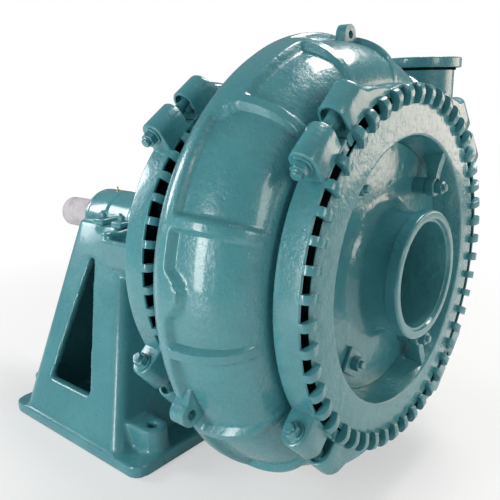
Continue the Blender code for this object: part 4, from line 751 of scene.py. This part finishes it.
bare, given, result, surface_point = skin_group(
    "bare_metal",
    {
        "Metal": (0.5, 0.5, 0.5, 1.0),
        "Stain": (0.25, 0.2, 0.16, 1.0),
        "Stain Share": 0.3,
        "Mark Scale": 300.0,
        "Roughness": 0.35,
    },
)
squeeze = bare.nodes.new("ShaderNodeMapping")
squeeze.inputs["Scale"].default_value = (1.0, 0.08, 0.08)
bare.links.new(surface_point, squeeze.inputs["Vector"])
marks = add_noise(bare, squeeze.outputs["Vector"], given["Mark Scale"], detail=2.0, roughness=0.5)
blotch = add_noise(bare, surface_point, 22.0, detail=4.0, roughness=0.65)
blotch_share = add_range(bare, blotch, low=0.45, high=0.7, to_low=0.0, to_high=1.0)
blotch_share = add_math(bare, "MULTIPLY", blotch_share, given["Stain Share"])
bare.links.new(add_mix(bare, blotch_share, given["Metal"], given["Stain"]), result["Color"])
rough_swing = add_range(bare, marks, low=0.3, high=0.7, to_low=-0.06, to_high=0.12)
bare.links.new(add_math(bare, "ADD", given["Roughness"], rough_swing), result["Roughness"])
bare.links.new(add_math(bare, "ADD", marks, blotch), result["Height"])
metal_bump = 0.6


def bare_metal(name, metallic=1.0, relief=0.0004, **values):
    """Bare metal or other unpainted material of one kind of piece."""
    made, shader = skinned(name, bare, relief, metal_bump, values)
    shader.inputs["Metallic"].default_value = metallic
    return made


brass_metal = bare_metal("turned_brass", Metal=(0.56, 0.40, 0.13, 1.0), Stain=(0.25, 0.17, 0.07, 1.0))
nipple_loop = softened(
    [
        (0.0, 0.0), (0.0, 0.007), (0.005, 0.007), (0.005, 0.003),
        (0.012, 0.003), (0.014, 0.0042), (0.017, 0.0),
    ],
    0.0006,
    2,
)
nipple = turned_mesh("grease_nipple", nipple_loop, 20, origin)
nipple_z = shaft_centre.z + nipple_seat
nipple_places = [(shaft_centre.x + station, 0.0, nipple_z) for station in bearing_stations]
nipples = joined("grease_nipples", *[upright(nipple, place) for place in nipple_places])
dressed("grease_nipples", nipples, brass_metal, body="bearing_cartridge", slot="brass")


# Shaft
# Steel bar turned with a step for each bearing and for the sleeve, and threaded into the impeller. Its
# bare end carries a pale coat against rust.
coated_steel = bare_metal(
    "coated_steel",
    metallic=0.0,
    relief=0.0012,
    Metal=(0.56, 0.53, 0.56, 1.0),
    Stain=(0.30, 0.24, 0.26, 1.0),
    Stain_Share=0.7,
    Mark_Scale=60.0,
    Roughness=0.5,
)
shaft_loop = softened(
    [
        (-1.259, 0.0), (-1.259, 0.056), (-1.255, 0.060), (-1.020, 0.060), (-1.020, 0.065),
        (-0.9147, 0.065), (-0.9147, 0.070), (-0.6653, 0.070), (-0.6653, 0.065), (-0.556, 0.065),
        (-0.556, 0.0625), (-0.4201, 0.0625), (-0.4201, 0.056), (-0.1453, 0.056), (-0.1453, 0.045),
        (-0.045, 0.045), (-0.045, 0.0),
    ],
    [0.0] + [0.0015] * 15 + [0.0],
    3,
)
shaft_mesh = turned_mesh("pump_shaft", shaft_loop, 96)
dressed("pump_shaft", shaft_mesh, coated_steel, "shaft", body="rotor", slot="shaft_steel")


# Casing
# Iron volute cast in one with its discharge neck. Its rear part stands a step higher than the front panels,
# ribs divide the panels, and a boss, a side eye and a lifting eye are cast on.
growth_angles = (0, 30, 60, 90, 200, 240, 270, 288, 315, 360)
growth_shares = (1.0, 0.0, -0.10, 0.0, 0.0, 0.10, 0.12, 0.30, 0.55, 1.0)
volute_r = 0.605
volute_growth = 0.095
step_height = 0.020
step_start = 0.016
step_end = 0.034
top_step_shift = 0.055
top_step_rise = (104.5, 107.5)
top_step_fall = (131.5, 137.0)
rib_angles = (58.0, 81.5, 106.0, 131.5, 160.3, 188.5, 212.0, 237.0, 262.5, 288.0, 313.5, 339.0)
rib_half_angle = 1.35
rib_flank = 0.75
front_power = 2.6
rear_power = 1.25
boss_angle = 175.5
boss_r = 0.056
boss_edge = 0.003
boss_flank = 0.013
casing_steps = 720
front_shoulder = 0.205
rear_shoulder = 0.186
front_base_r = 0.436
rear_base_r = 0.427
flange_x = 0.252
flange_r = 0.456
flange_bore_r = 0.405
front_groove_x = 0.2253
rear_groove_x = -0.2147
station_crowding = 0.9
front_station_count = 34
rear_station_count = 26
step_spacing = 0.003
step_station_count = 7
eye_steps = 28
eye_edge = 0.005


def smooth_share(value, low, high):
    """Share that rises smoothly from 0 to 1 between two values."""
    share = np.clip((value - low) / (high - low), 0.0, 1.0)
    return share * share * (3 - 2 * share)


def casing_radius(x, angle):
    """Radius of the casing's skin at a station and an angle."""
    shifts = (-6, -3, 0, 3, 6)
    around = [np.interp((angle + shift) % 360.0, growth_angles, growth_shares) for shift in shifts]
    panel = volute_r + volute_growth * sum(around) / len(around)
    rib = 0.0
    for rib_angle in rib_angles:
        off = abs((angle - rib_angle + 180.0) % 360.0 - 180.0)
        beyond = smooth_share(off, rib_half_angle - rib_flank / 2, rib_half_angle + rib_flank)
        rib = max(rib, float(1.0 - beyond))

    def section(half, base, crest, power):
        inside = max(0.0, 1.0 - abs(x / half) ** power)
        return base + (crest - base) * inside ** (1.0 / power)

    if x < 0:
        return section(rear_shoulder, rear_base_r, panel + step_height, rear_power)
    raised = section(front_shoulder, front_base_r, panel + step_height, front_power)
    sunk = section(front_shoulder, front_base_r, panel, front_power)
    shift = float(smooth_share(angle, *top_step_rise) - smooth_share(angle, *top_step_fall))
    step = float(smooth_share(x - top_step_shift * shift, step_start, step_end))
    off_angle = math.radians((angle - boss_angle + 180.0) % 360.0 - 180.0)
    off_boss = math.hypot(x, off_angle * (volute_r + step_height))
    on_boss = float(1.0 - smooth_share(off_boss, boss_r - boss_edge, boss_r + boss_flank))
    return raised + (sunk - raised) * step * (1.0 - max(rib, on_boss))


def darkened(mesh, low_r, high_r, low_x):
    """Gives the painted gap shade, a near-black that stands for shade, to faces between two radii: ahead of a
    front station, behind a rear one.
    """
    mesh.materials.append(painted_gap_shade)
    for face in mesh.polygons:
        away = face.center - shaft_centre
        beyond = away.x > low_x if low_x > 0.0 else away.x < low_x
        if beyond and low_r < math.hypot(away.y, away.z) < high_r:
            face.material_index = 1


def half_stations(half, count, sign):
    """Stations that crowd towards the end of a half section, where its skin is steep."""
    shares = [math.sin(math.pi / 2 * index / count) ** station_crowding for index in range(count + 1)]
    return [sign * half * share for share in shares]


front_stations = half_stations(front_shoulder, front_station_count, 1)
step_stations = [step_start + step_spacing * index for index in range(step_station_count)]
step_stations += [station + top_step_shift for station in step_stations]
front_stations = sorted(set(front_stations[1:] + step_stations))
rear_stations = sorted(half_stations(rear_shoulder, rear_station_count, -1))
rows = []
for step in range(casing_steps):
    angle = 360.0 * step / casing_steps
    loop = [(-flange_x, flange_bore_r), (-flange_x, flange_r), (rear_groove_x, flange_r)]
    loop += [(rear_groove_x, 0.4285), (-0.210, rear_base_r)]
    loop += [(x, casing_radius(x, angle)) for x in rear_stations]
    loop += [(x, casing_radius(x, angle)) for x in front_stations]
    loop += [(0.2207, front_base_r), (front_groove_x, 0.4375), (front_groove_x, flange_r)]
    loop += [(flange_x, flange_r), (flange_x, flange_bore_r)]
    cosine = math.cos(math.radians(angle))
    sine = math.sin(math.radians(angle))
    rows.append([(shaft_centre.x + x, r * cosine, shaft_centre.z + r * sine) for x, r in loop])
casing_shell = grid_mesh("casing_shell", rows, True, True)


def opened(mesh, centre, radius, low):
    """Mesh without its faces inside an upright round opening above a height."""
    work = bmesh.new()
    work.from_mesh(mesh)
    inside = []
    for face in work.faces:
        middle = face.calc_center_median()
        if middle.z > low and math.hypot(middle.x - centre[0], middle.y - centre[1]) < radius:
            inside.append(face)
    bmesh.ops.delete(work, geom=inside, context="FACES")
    work.to_mesh(mesh)
    work.free()
    return mesh


def eased_edges(width, segments=3, limit=40.0):
    """Bevel of the edges that are sharper than a limit, as a step for a mesh."""
    return ("BEVEL", {"width": width, "segments": segments, "angle_limit": math.radians(limit)})


def extruded_mesh(name, corners, far_place, bevel, segments=3, limit=40.0):
    """Plate from an outline to its far side, with its edges eased where they are sharper than a limit."""
    work = bmesh.new()
    face = work.faces.new([work.verts.new(corner) for corner in corners])
    grown = bmesh.ops.extrude_face_region(work, geom=[face])
    for corner in grown["geom"]:
        if isinstance(corner, bmesh.types.BMVert):
            corner.co = far_place(corner.co)
    bmesh.ops.recalc_face_normals(work, faces=work.faces)
    return applied(mesh_from(work, name), name, eased_edges(bevel, segments, limit))


def prism_mesh(name, outline, low, high, bevel, segments=3):
    """Plate with an outline of (radius, tangent) at the +Y side of the shaft, between two stations."""
    corners = [(shaft_centre.x + low, radius, shaft_centre.z + tangent) for radius, tangent in outline]
    far_x = shaft_centre.x + high
    return extruded_mesh(name, corners, lambda place: (far_x, place.y, place.z), bevel, segments)


def eye_mesh(name, place_r, radius, hole_r, arm, low, high, angle):
    """Cast eye on the casing: round end with a hole and an arm that runs out along the casing."""
    turns = [math.pi / 2 - math.pi * step / eye_steps for step in range(eye_steps + 1)]
    outline = [(place_r + radius * math.cos(turn), radius * math.sin(turn)) for turn in turns]
    outline = [(place_r - 2 * radius, radius)] + outline + [(place_r - 2 * radius, -arm)]
    plate = prism_mesh(name, outline, low, high, 0.0001, 1)
    hole_loop = [(low - radius, 0.0), (high + radius, 0.0), (high + radius, hole_r), (low - radius, hole_r)]
    hole = turned_mesh("eye_hole", hole_loop, 32, Vector((shaft_centre.x, place_r, shaft_centre.z)))
    cutter = placed("eye_hole", hole)
    cut = applied(
        plate,
        name,
        ("BOOLEAN", {"operation": "DIFFERENCE", "object": cutter}),
        eased_edges(eye_edge),
    )
    bpy.data.objects.remove(cutter, do_unlink=True)
    return moved(cut, about_shaft(angle))


side_eye = eye_mesh(
    "side_eye", place_r=0.632, radius=0.031, hole_r=0.013, arm=0.090, low=-0.005, high=0.040, angle=204.3
)
lifting_eye = eye_mesh(
    "lifting_eye", place_r=0.619, radius=0.027, hole_r=0.011, arm=0.054, low=0.045, high=0.075, angle=86.0
)
outlet_x = 0.010
outlet_y = 0.600
outlet_bore_r = 0.1015
neck_r = 0.120
flare_drops = (0.0, 0.10, 0.20, 0.33, 0.62, 1.0)
flare_growths = (0.0, 0.22, 0.48, 0.74, 0.92, 1.0)
flare_sink = 0.002
flare_top = 0.470
flare_bottom = 0.020
flare_reach = 0.180
flare_depth = 0.030
outlet_steps = 96
flare_levels = 30
rows = []
for step in range(outlet_steps):
    angle = 2 * math.pi * step / outlet_steps
    ring = []
    for level in range(flare_levels + 1):
        share = level / flare_levels
        reach_share = float(np.interp(share, flare_drops, flare_growths))
        reach = flare_reach * reach_share
        half_y = neck_r - flare_sink + reach
        half_x = neck_r - flare_sink + flare_depth * reach_share
        y = outlet_y - reach + half_y * math.sin(angle)
        height = flare_top - (flare_top - flare_bottom) * share
        ring.append((shaft_centre.x + outlet_x + half_x * math.cos(angle), y, shaft_centre.z + height))
    for height in (flare_bottom, flare_top):
        x = shaft_centre.x + outlet_x + outlet_bore_r * math.cos(angle)
        ring.append((x, outlet_y + outlet_bore_r * math.sin(angle), shaft_centre.z + height))
    rows.append(ring)
outlet_flare = grid_mesh("outlet_flare", rows, True, True)
outlet_centre = Vector((shaft_centre.x + outlet_x, outlet_y, shaft_centre.z))
groove_low = 0.5315
groove_high = 0.5405
groove_reach = 0.141
neck_loop = softened(
    [
        (0.440, outlet_bore_r), (0.440, neck_r), (0.533, neck_r), (0.533, 0.125), (0.541, 0.125),
        (0.541, 0.142), (0.573, 0.142), (0.573, outlet_bore_r),
    ],
    [0.0, 0.0, 0.001, 0.001, 0.001, 0.002, 0.005, 0.003],
)
outlet_neck = turned_mesh("outlet_neck", neck_loop, outlet_steps, outlet_centre, "Z")
casing_shell = opened(casing_shell, outlet_centre, outlet_bore_r, shaft_centre.z)
casing_enamel = enamelled(
    "casing_enamel", relief=0.0034, Cloud_Scale=3.5, Grain_Scale=120.0, Gloss=0.25, Grain=0.55
)
casing_mesh = joined("pump_casing_casting", casing_shell, outlet_flare, outlet_neck, side_eye, lifting_eye)
dressed("pump_casing_casting", casing_mesh, casing_enamel, "pump_casing")
# Painted shade: a matte near-black that stands for the deep shade in the gaps under the clamp rings and in
# the outlet's groove.
painted_gap_shade = enamelled(
    "painted_gap_shade", Paint=(0.004, 0.010, 0.012, 1.0), Thin_Paint=(0.006, 0.016, 0.018, 1.0), Gloss=0.9
)
painted_gap_shade_shader = painted_gap_shade.node_tree.nodes["Principled BSDF"]
painted_gap_shade_shader.inputs["Coat Weight"].default_value = 0.0
painted_gap_shade_shader.inputs["Specular IOR Level"].default_value = 0.0
# Painted shade on the rear flange and groove under the rear clamp ring.
darkened(casing_mesh, low_r=0.400, high_r=0.481, low_x=-0.190)
# Painted shade in the groove under the outlet's rim.
for face in casing_mesh.polygons:
    away = face.center - outlet_centre
    if groove_low < away.z < groove_high and math.hypot(away.x, away.y) < groove_reach:
        face.material_index = 1


# Clamp rings
# Four cast iron segments to a ring, with twelve claws each that hook over a rim. At each split a rod that
# is held in one segment's lug runs through the hollow lug of the next, to a washer and a nut.
ring_r = 0.490
ring_width = 0.072
ring_wall = 0.008
ring_lip_r = 0.440
split_half = 0.25
end_wall_half = 0.013
end_wall_place = 0.0155
lug_width = 0.070
lug_rise = 0.035
lug_start = 0.022
lug_length = 0.095
lug_wall = 0.008
lug_end_wall = 0.014
lug_sink = 0.004
lug_recess = 0.018
lug_mouth = 0.001
lug_front_edge = ((0.0, 0.004), (0.001, 0.0015), (0.004, 0.0))
lug_rear_edge = ((-0.006, 0.0), (-0.0025, 0.001), (-0.0005, 0.004), (0.0, 0.007))
tail_stations = (0.060, 0.104, 0.110, 0.118, 0.126, 0.140, 0.175, 0.215)
tail_shares = (1.0, 1.0, 0.95, 0.76, 0.60, 0.50, 0.27, 0.0)
lug_arc_steps = 20
tail_steps = 31
tail_least = 0.001
band_steps = 64
claw_heel_r = 0.4585
wall_top_r = 0.486
claw_root_r = 0.4825
claw_tip_r = 0.4385
claw_pitch = 7.4
claw_count = 12
claw_half = 0.0108
ring_splits = {
    "front": (0.2890, (41.0, 130.0, 224.0, 312.0)),
    "rear": (-0.2170, (35.0, 124.0, 219.5, 307.0)),
}
ring_enamel = enamelled(
    "ring_enamel", relief=0.0030, Cloud_Scale=6.0, Grain_Scale=150.0, Gloss=0.23, Grain=0.4
)


def lug_ring(half_width, rise, centre_height, floor, along, shrink=0.0):
    """Arched outline square to a clamp rod, at one station along it."""
    half = half_width - shrink
    top = rise - shrink
    ring = [(-half, floor, along), (-half, (floor + centre_height) / 2, along)]
    for step in range(lug_arc_steps + 1):
        angle = math.pi * step / lug_arc_steps
        ring.append((-half * math.cos(angle), centre_height + top * math.sin(angle), along))
    ring += [(half, (floor + centre_height) / 2, along), (half, floor, along)]
    return ring


def band_height(radius, along):
    """Height of a circle round the shaft at a distance along its tangent."""
    return math.sqrt(radius * radius - along * along)


def lug_mesh(name, hollow):
    """Lug of a segment, drawn with its rod along +Z at the +Y side of the shaft."""
    high = ring_r + lug_rise
    end = lug_start + lug_length
    pocket_end = end - lug_end_wall if hollow else lug_start + lug_recess
    pocket_ease = 0.004 if hollow else 0.003
    pocket = ((pocket_end, pocket_ease), (pocket_end - pocket_ease, 0.0), (lug_start + lug_mouth, 0.0))
    skin = [(lug_start + along, shrink) for along, shrink in lug_front_edge]
    if hollow:
        skin += [(end + along, shrink) for along, shrink in lug_rear_edge]
    rows = []
    for along, shrink in pocket:
        floor = band_height(ring_r + lug_mouth, along)
        rows.append(lug_ring(lug_width / 2 - lug_wall, lug_rise - lug_wall, high, floor, along, shrink))
    for along, shrink in skin:
        floor = band_height(ring_r - lug_sink, along)
        rows.append(lug_ring(lug_width / 2, lug_rise, high, floor, along, shrink))
    for step in range(0 if hollow else tail_steps + 1):
        along = tail_stations[0] + (tail_stations[-1] - tail_stations[0]) * step / tail_steps
        floor = band_height(ring_r - lug_sink, along)
        kept = float(np.interp(along, tail_stations, tail_shares))
        centre_height = floor + tail_least + (high - floor - tail_least) * kept
        rise = lug_sink + (lug_rise - lug_sink) * kept
        rows.append(lug_ring(lug_width / 2, rise, centre_height, floor, along))
    return grid_mesh(name, rows, False, True, caps=True)


hollow_lug = lug_mesh("hollow_lug", True)
solid_lug = lug_mesh("solid_lug", False)
clamp_bolt = bolt_mesh(
    "clamp_bolt",
    start=-0.050,
    end=0.1513,
    radius=0.0125,
    nut_start=0.1213,
    nut_flats=0.036,
    nut_height=0.018,
    washer_r=0.026,
    washer_height=0.004,
)
mirrored = Matrix.Scale(-1.0, 4, (0.0, 0.0, 1.0))


def claw_mesh(face_x):
    """Claw that hooks over a rim, drawn at the +Y side of the origin."""
    outline = softened(
        [
            (face_x - 0.012, claw_root_r), (face_x - 0.012, ring_r - 0.0004),
            (face_x + 0.014, ring_r - 0.0010), (face_x + 0.024, ring_r - 0.022),
            (face_x + 0.0160, claw_tip_r), (face_x + 0.0026, claw_tip_r), (face_x + 0.0026, claw_heel_r),
            (face_x - 0.002, claw_root_r),
        ],
        [0.0, 0.0, 0.014, 0.020, 0.006, 0.001, 0.008, 0.004],
        5,
    )
    corners = [(x, radius, -claw_half * radius / ring_r) for x, radius in outline]
    return extruded_mesh("claw", corners, lambda place: (place.x, place.y, -place.z), 0.0028, limit=50.0)


def web_mesh(name, outline, half_width):
    """Web with an outline of (station, radius) at the +Y side of the shaft, equal to both sides."""
    near_z = shaft_centre.z - half_width
    corners = [(shaft_centre.x + station, radius, near_z) for station, radius in outline]
    far_corners = [(x, y, z + 2 * half_width) for x, y, z in corners]
    mesh = grid_mesh(name, [corners, far_corners], False, True, caps=True)
    return applied(mesh, name, eased_edges(0.004))


for label, (face_x, splits) in ring_splits.items():
    rear_x = face_x - ring_width
    band_loop = softened(
        [
            (face_x, ring_r), (rear_x, ring_r), (rear_x, ring_lip_r),
            (rear_x + ring_wall, ring_lip_r), (rear_x + ring_wall, ring_r - ring_wall),
            (face_x, ring_r - ring_wall),
        ],
        [0.004, 0.006, 0.002, 0.002, 0.004, 0.002],
    )
    claw = claw_mesh(face_x)
    wall_rear = face_x - ring_width / 2
    wall_front = face_x - 0.001
    wall_outline = [(wall_rear, wall_top_r), (wall_rear, claw_heel_r)]
    wall_outline += [(wall_front, claw_heel_r), (wall_front, wall_top_r)]
    end_wall = web_mesh("end_wall", wall_outline, end_wall_half)
    lug_place = Matrix.Translation((shaft_centre.x + face_x - ring_width / 2, 0.0, shaft_centre.z))
    for index, segment in enumerate(("top", "left", "bottom", "right")):
        start = splits[index]
        end = splits[(index + 1) % 4]
        if end < start:
            end += 360.0
        rows = []
        for step in range(band_steps + 1):
            angle = math.radians(start + split_half + (end - start - 2 * split_half) * step / band_steps)
            cosine = math.cos(angle)
            sine = math.sin(angle)
            rows.append([(shaft_centre.x + x, r * cosine, shaft_centre.z + r * sine) for x, r in band_loop])
        band = grid_mesh("clamp_band", rows, False, True, caps=True)
        lug = hollow_lug if index % 2 else solid_lug
        first_lug = moved(lug, about_shaft(start) @ lug_place)
        last_lug = moved(lug, about_shaft(end) @ lug_place @ mirrored)
        name = f"{label}_clamp_{segment}_casting"
        first_wall = moved(end_wall, about_shaft(start) @ Matrix.Translation((0.0, 0.0, end_wall_place)))
        last_wall = moved(end_wall, about_shaft(end) @ Matrix.Translation((0.0, 0.0, -end_wall_place)))
        casting = joined(name, band, first_lug, last_lug, first_wall, last_wall)
        dressed(name, casting, ring_enamel, f"{label}_clamp_{segment}")
        first = (start + end) / 2 - claw_pitch * (claw_count - 1) / 2
        name = f"{label}_clamp_{segment}_claws"
        claws = ring_mesh(name, claw, claw_count, first, claw_pitch, ring_enamel)
        dressed(name, claws, ring_enamel)
        turn = -math.pi / 2 if index % 2 else math.pi / 2
        rod_place = lug_place @ Matrix.Translation((0.0, ring_r + lug_rise, 0.0))
        rod = moved(clamp_bolt, about_shaft(start) @ rod_place @ Matrix.Rotation(turn, 4, "Y"))
        name = f"{label}_clamp_bolt_{index + 1}"
        dressed(name, rod, ring_enamel, f"{label}_clamp_rod_{index + 1}")


# Front cover
# Turned ring of cast iron with a conical recess. Two cast arms, each a web with a round boss, reach inward
# over the suction liner and carry the studs that hold it.
cover_steps = 192
cover_loop = softened(
    [
        (0.2523, 0.456), (0.2913, 0.456), (0.2955, 0.361), (0.218, 0.343), (0.196, 0.343),
        (0.196, 0.3997), (0.2523, 0.3997),
    ],
    [0.001, 0.003, 0.006, 0.002, 0.001, 0.001, 0.001],
)
arm_angles = (48.0, 300.0)
arm_leans = (27.0, -17.0)
stud_circle = 0.275
arm_low = 0.2545
arm_high = 0.282
arm_boss_r = 0.027
arm_half_width = 0.014
arm_boss_steps = 40
boss_outline = []
for step in range(arm_boss_steps):
    turn = 2 * math.pi * step / arm_boss_steps
    boss_outline.append((stud_circle + arm_boss_r * math.cos(turn), arm_boss_r * math.sin(turn)))
web_outline = softened(
    [
        (arm_low, stud_circle - 0.004), (arm_high, stud_circle - 0.004), (arm_high, 0.328),
        (0.2925, 0.380), (0.226, 0.364), (arm_low, 0.318),
    ],
    [0.002, 0.002, 0.030, 0.001, 0.001, 0.030],
    6,
)
cover_parts = [turned_mesh("front_cover_ring", cover_loop, cover_steps)]
for angle, lean in zip(arm_angles, arm_leans):
    boss = prism_mesh("arm_boss", boss_outline, arm_low, arm_high, 0.004)
    boss_place = Matrix.Translation((0.0, stud_circle, shaft_centre.z))
    leaning = boss_place @ Matrix.Rotation(math.radians(lean), 4, "X") @ boss_place.inverted()
    web = moved(web_mesh("arm_web", web_outline, arm_half_width), leaning)
    cover_parts += [moved(part, about_shaft(angle)) for part in (boss, web)]
cover_enamel = enamelled(
    "cover_enamel", relief=0.0062, Ripple_Scale=40.0, Cloud_Scale=5.0, Gloss=0.17, Grain=0.10
)
cover_mesh = joined("front_cover_casting", *cover_parts)
dressed("front_cover_casting", cover_mesh, cover_enamel, "front_cover")
# Painted shade on the cover's outer rim, under the front clamp ring's claws.
darkened(cover_mesh, low_r=0.4557, high_r=0.481, low_x=0.2)


# Suction liner and its fasteners
# Iron liner cast with the suction pipe and its stepped rim. Four studs hold it: two reach the cover's arms
# over spacers, one has a plain nut and one a square plate under its nut.
liner_loop = softened(
    [
        (0.150, 0.127), (0.342, 0.1425), (0.342, 0.1475), (0.351, 0.1505), (0.351, 0.168),
        (0.347, 0.172), (0.318, 0.172), (0.314, 0.1665), (0.290, 0.1640), (0.240, 0.1670),
        (0.218, 0.194), (0.218, 0.3425), (0.1957, 0.3425), (0.1957, 0.3994), (0.150, 0.3994),
    ],
    [0.004, 0.001, 0.001, 0.002, 0.002, 0.002, 0.003, 0.002]
    + [0.010, 0.020, 0.012, 0.002, 0.001, 0.001, 0.001],
)
liner_enamel = enamelled(
    "liner_enamel", relief=0.0050, Ripple_Scale=36.0, Cloud_Scale=6.0, Gloss=0.18, Grain=0.12
)
liner_mesh = turned_mesh("suction_liner_turned", liner_loop, cover_steps)
dressed("suction_liner_turned", liner_mesh, liner_enamel, "suction_liner")
stud_place = Matrix.Translation((shaft_centre.x, stud_circle, shaft_centre.z))
stud_start = 0.205
stud_reach = 0.030
stud_r = 0.011
nut_flats = 0.035
nut_height = 0.020
liner_seat = 0.2183
arm_nut_seat = 0.2823
plate_nut_seat = 0.2306
nut_stud_angle = 120.0
plate_stud_angle = 235.0
stud_angles = (arm_angles[0], nut_stud_angle, plate_stud_angle, arm_angles[1])
nut_seats = (arm_nut_seat, liner_seat, plate_nut_seat, arm_nut_seat)
for index, (angle, nut_start) in enumerate(zip(stud_angles, nut_seats)):
    stud_end = nut_start + stud_reach
    stud = bolt_mesh("liner_bolt", stud_start, stud_end, stud_r, nut_start, nut_flats, nut_height)
    name = f"liner_bolt_{index + 1}"
    stud = moved(stud, about_shaft(angle) @ stud_place)
    dressed(name, stud, liner_enamel, f"liner_stud_{index + 1}")
spacer_end = 0.2540
spacer_r = 0.025
spacer_bore_r = 0.0103
spacer_loop = [(liner_seat, spacer_bore_r), (liner_seat, spacer_r)]
spacer_loop += [(spacer_end, spacer_r), (spacer_end, spacer_bore_r)]
spacer_loop = softened(spacer_loop, 0.0015)
for index, angle in enumerate(arm_angles):
    name = f"liner_spacer_{index + 1}_turned"
    spacer = turned_mesh(name, spacer_loop, 48, Vector((shaft_centre.x, stud_circle, shaft_centre.z)))
    spacer = moved(spacer, about_shaft(angle))
    dressed(name, spacer, liner_enamel, f"liner_spacer_{index + 1}")
plate_half = 0.035
square = [(stud_circle - plate_half, -plate_half), (stud_circle + plate_half, -plate_half)]
square += [(stud_circle + plate_half, plate_half), (stud_circle - plate_half, plate_half)]
square_plate = prism_mesh("liner_plate_cut", square, liner_seat, plate_nut_seat - seat_gap, 0.0025)
square_plate = moved(square_plate, about_shaft(plate_stud_angle))
dressed("liner_plate_cut", square_plate, liner_enamel, "liner_plate")


# Pieces kept from the solids
# Impeller, rear liner, seals, bearings and adjusting screw are hidden or small and keep their solid shapes.
# Each is dressed as what it is: hard iron, machined steel, brass, plaited packing or enamel.
machined_steel = bare_metal("machined_steel", Metal=(0.52, 0.52, 0.51, 1.0), Roughness=0.28)
hard_iron = bare_metal(
    "hard_iron",
    metallic=0.85,
    relief=0.0015,
    Metal=(0.27, 0.27, 0.27, 1.0),
    Stain=(0.16, 0.13, 0.11, 1.0),
    Stain_Share=0.6,
    Mark_Scale=80.0,
    Roughness=0.48,
)
plaited_packing = bare_metal(
    "plaited_packing",
    metallic=0.0,
    relief=0.003,
    Metal=(0.42, 0.36, 0.25, 1.0),
    Stain=(0.20, 0.17, 0.12, 1.0),
    Stain_Share=0.8,
    Mark_Scale=140.0,
    Roughness=0.85,
)
kept_finishes = {
    "impeller": hard_iron,
    "rear_liner": hard_iron,
    "stuffing_box": plate_enamel,
    "gland": plate_enamel,
    "lantern_ring": brass_metal,
    "packing_ring_1": plaited_packing,
    "packing_ring_2": plaited_packing,
}
for name, piece in frame["nodes"].items():
    if not piece.hide_render:
        finish = kept_finishes.get(name, machined_steel)
        piece.data.materials.clear()
        piece.data.materials.append(finish)


bpy.context.view_layer.update()
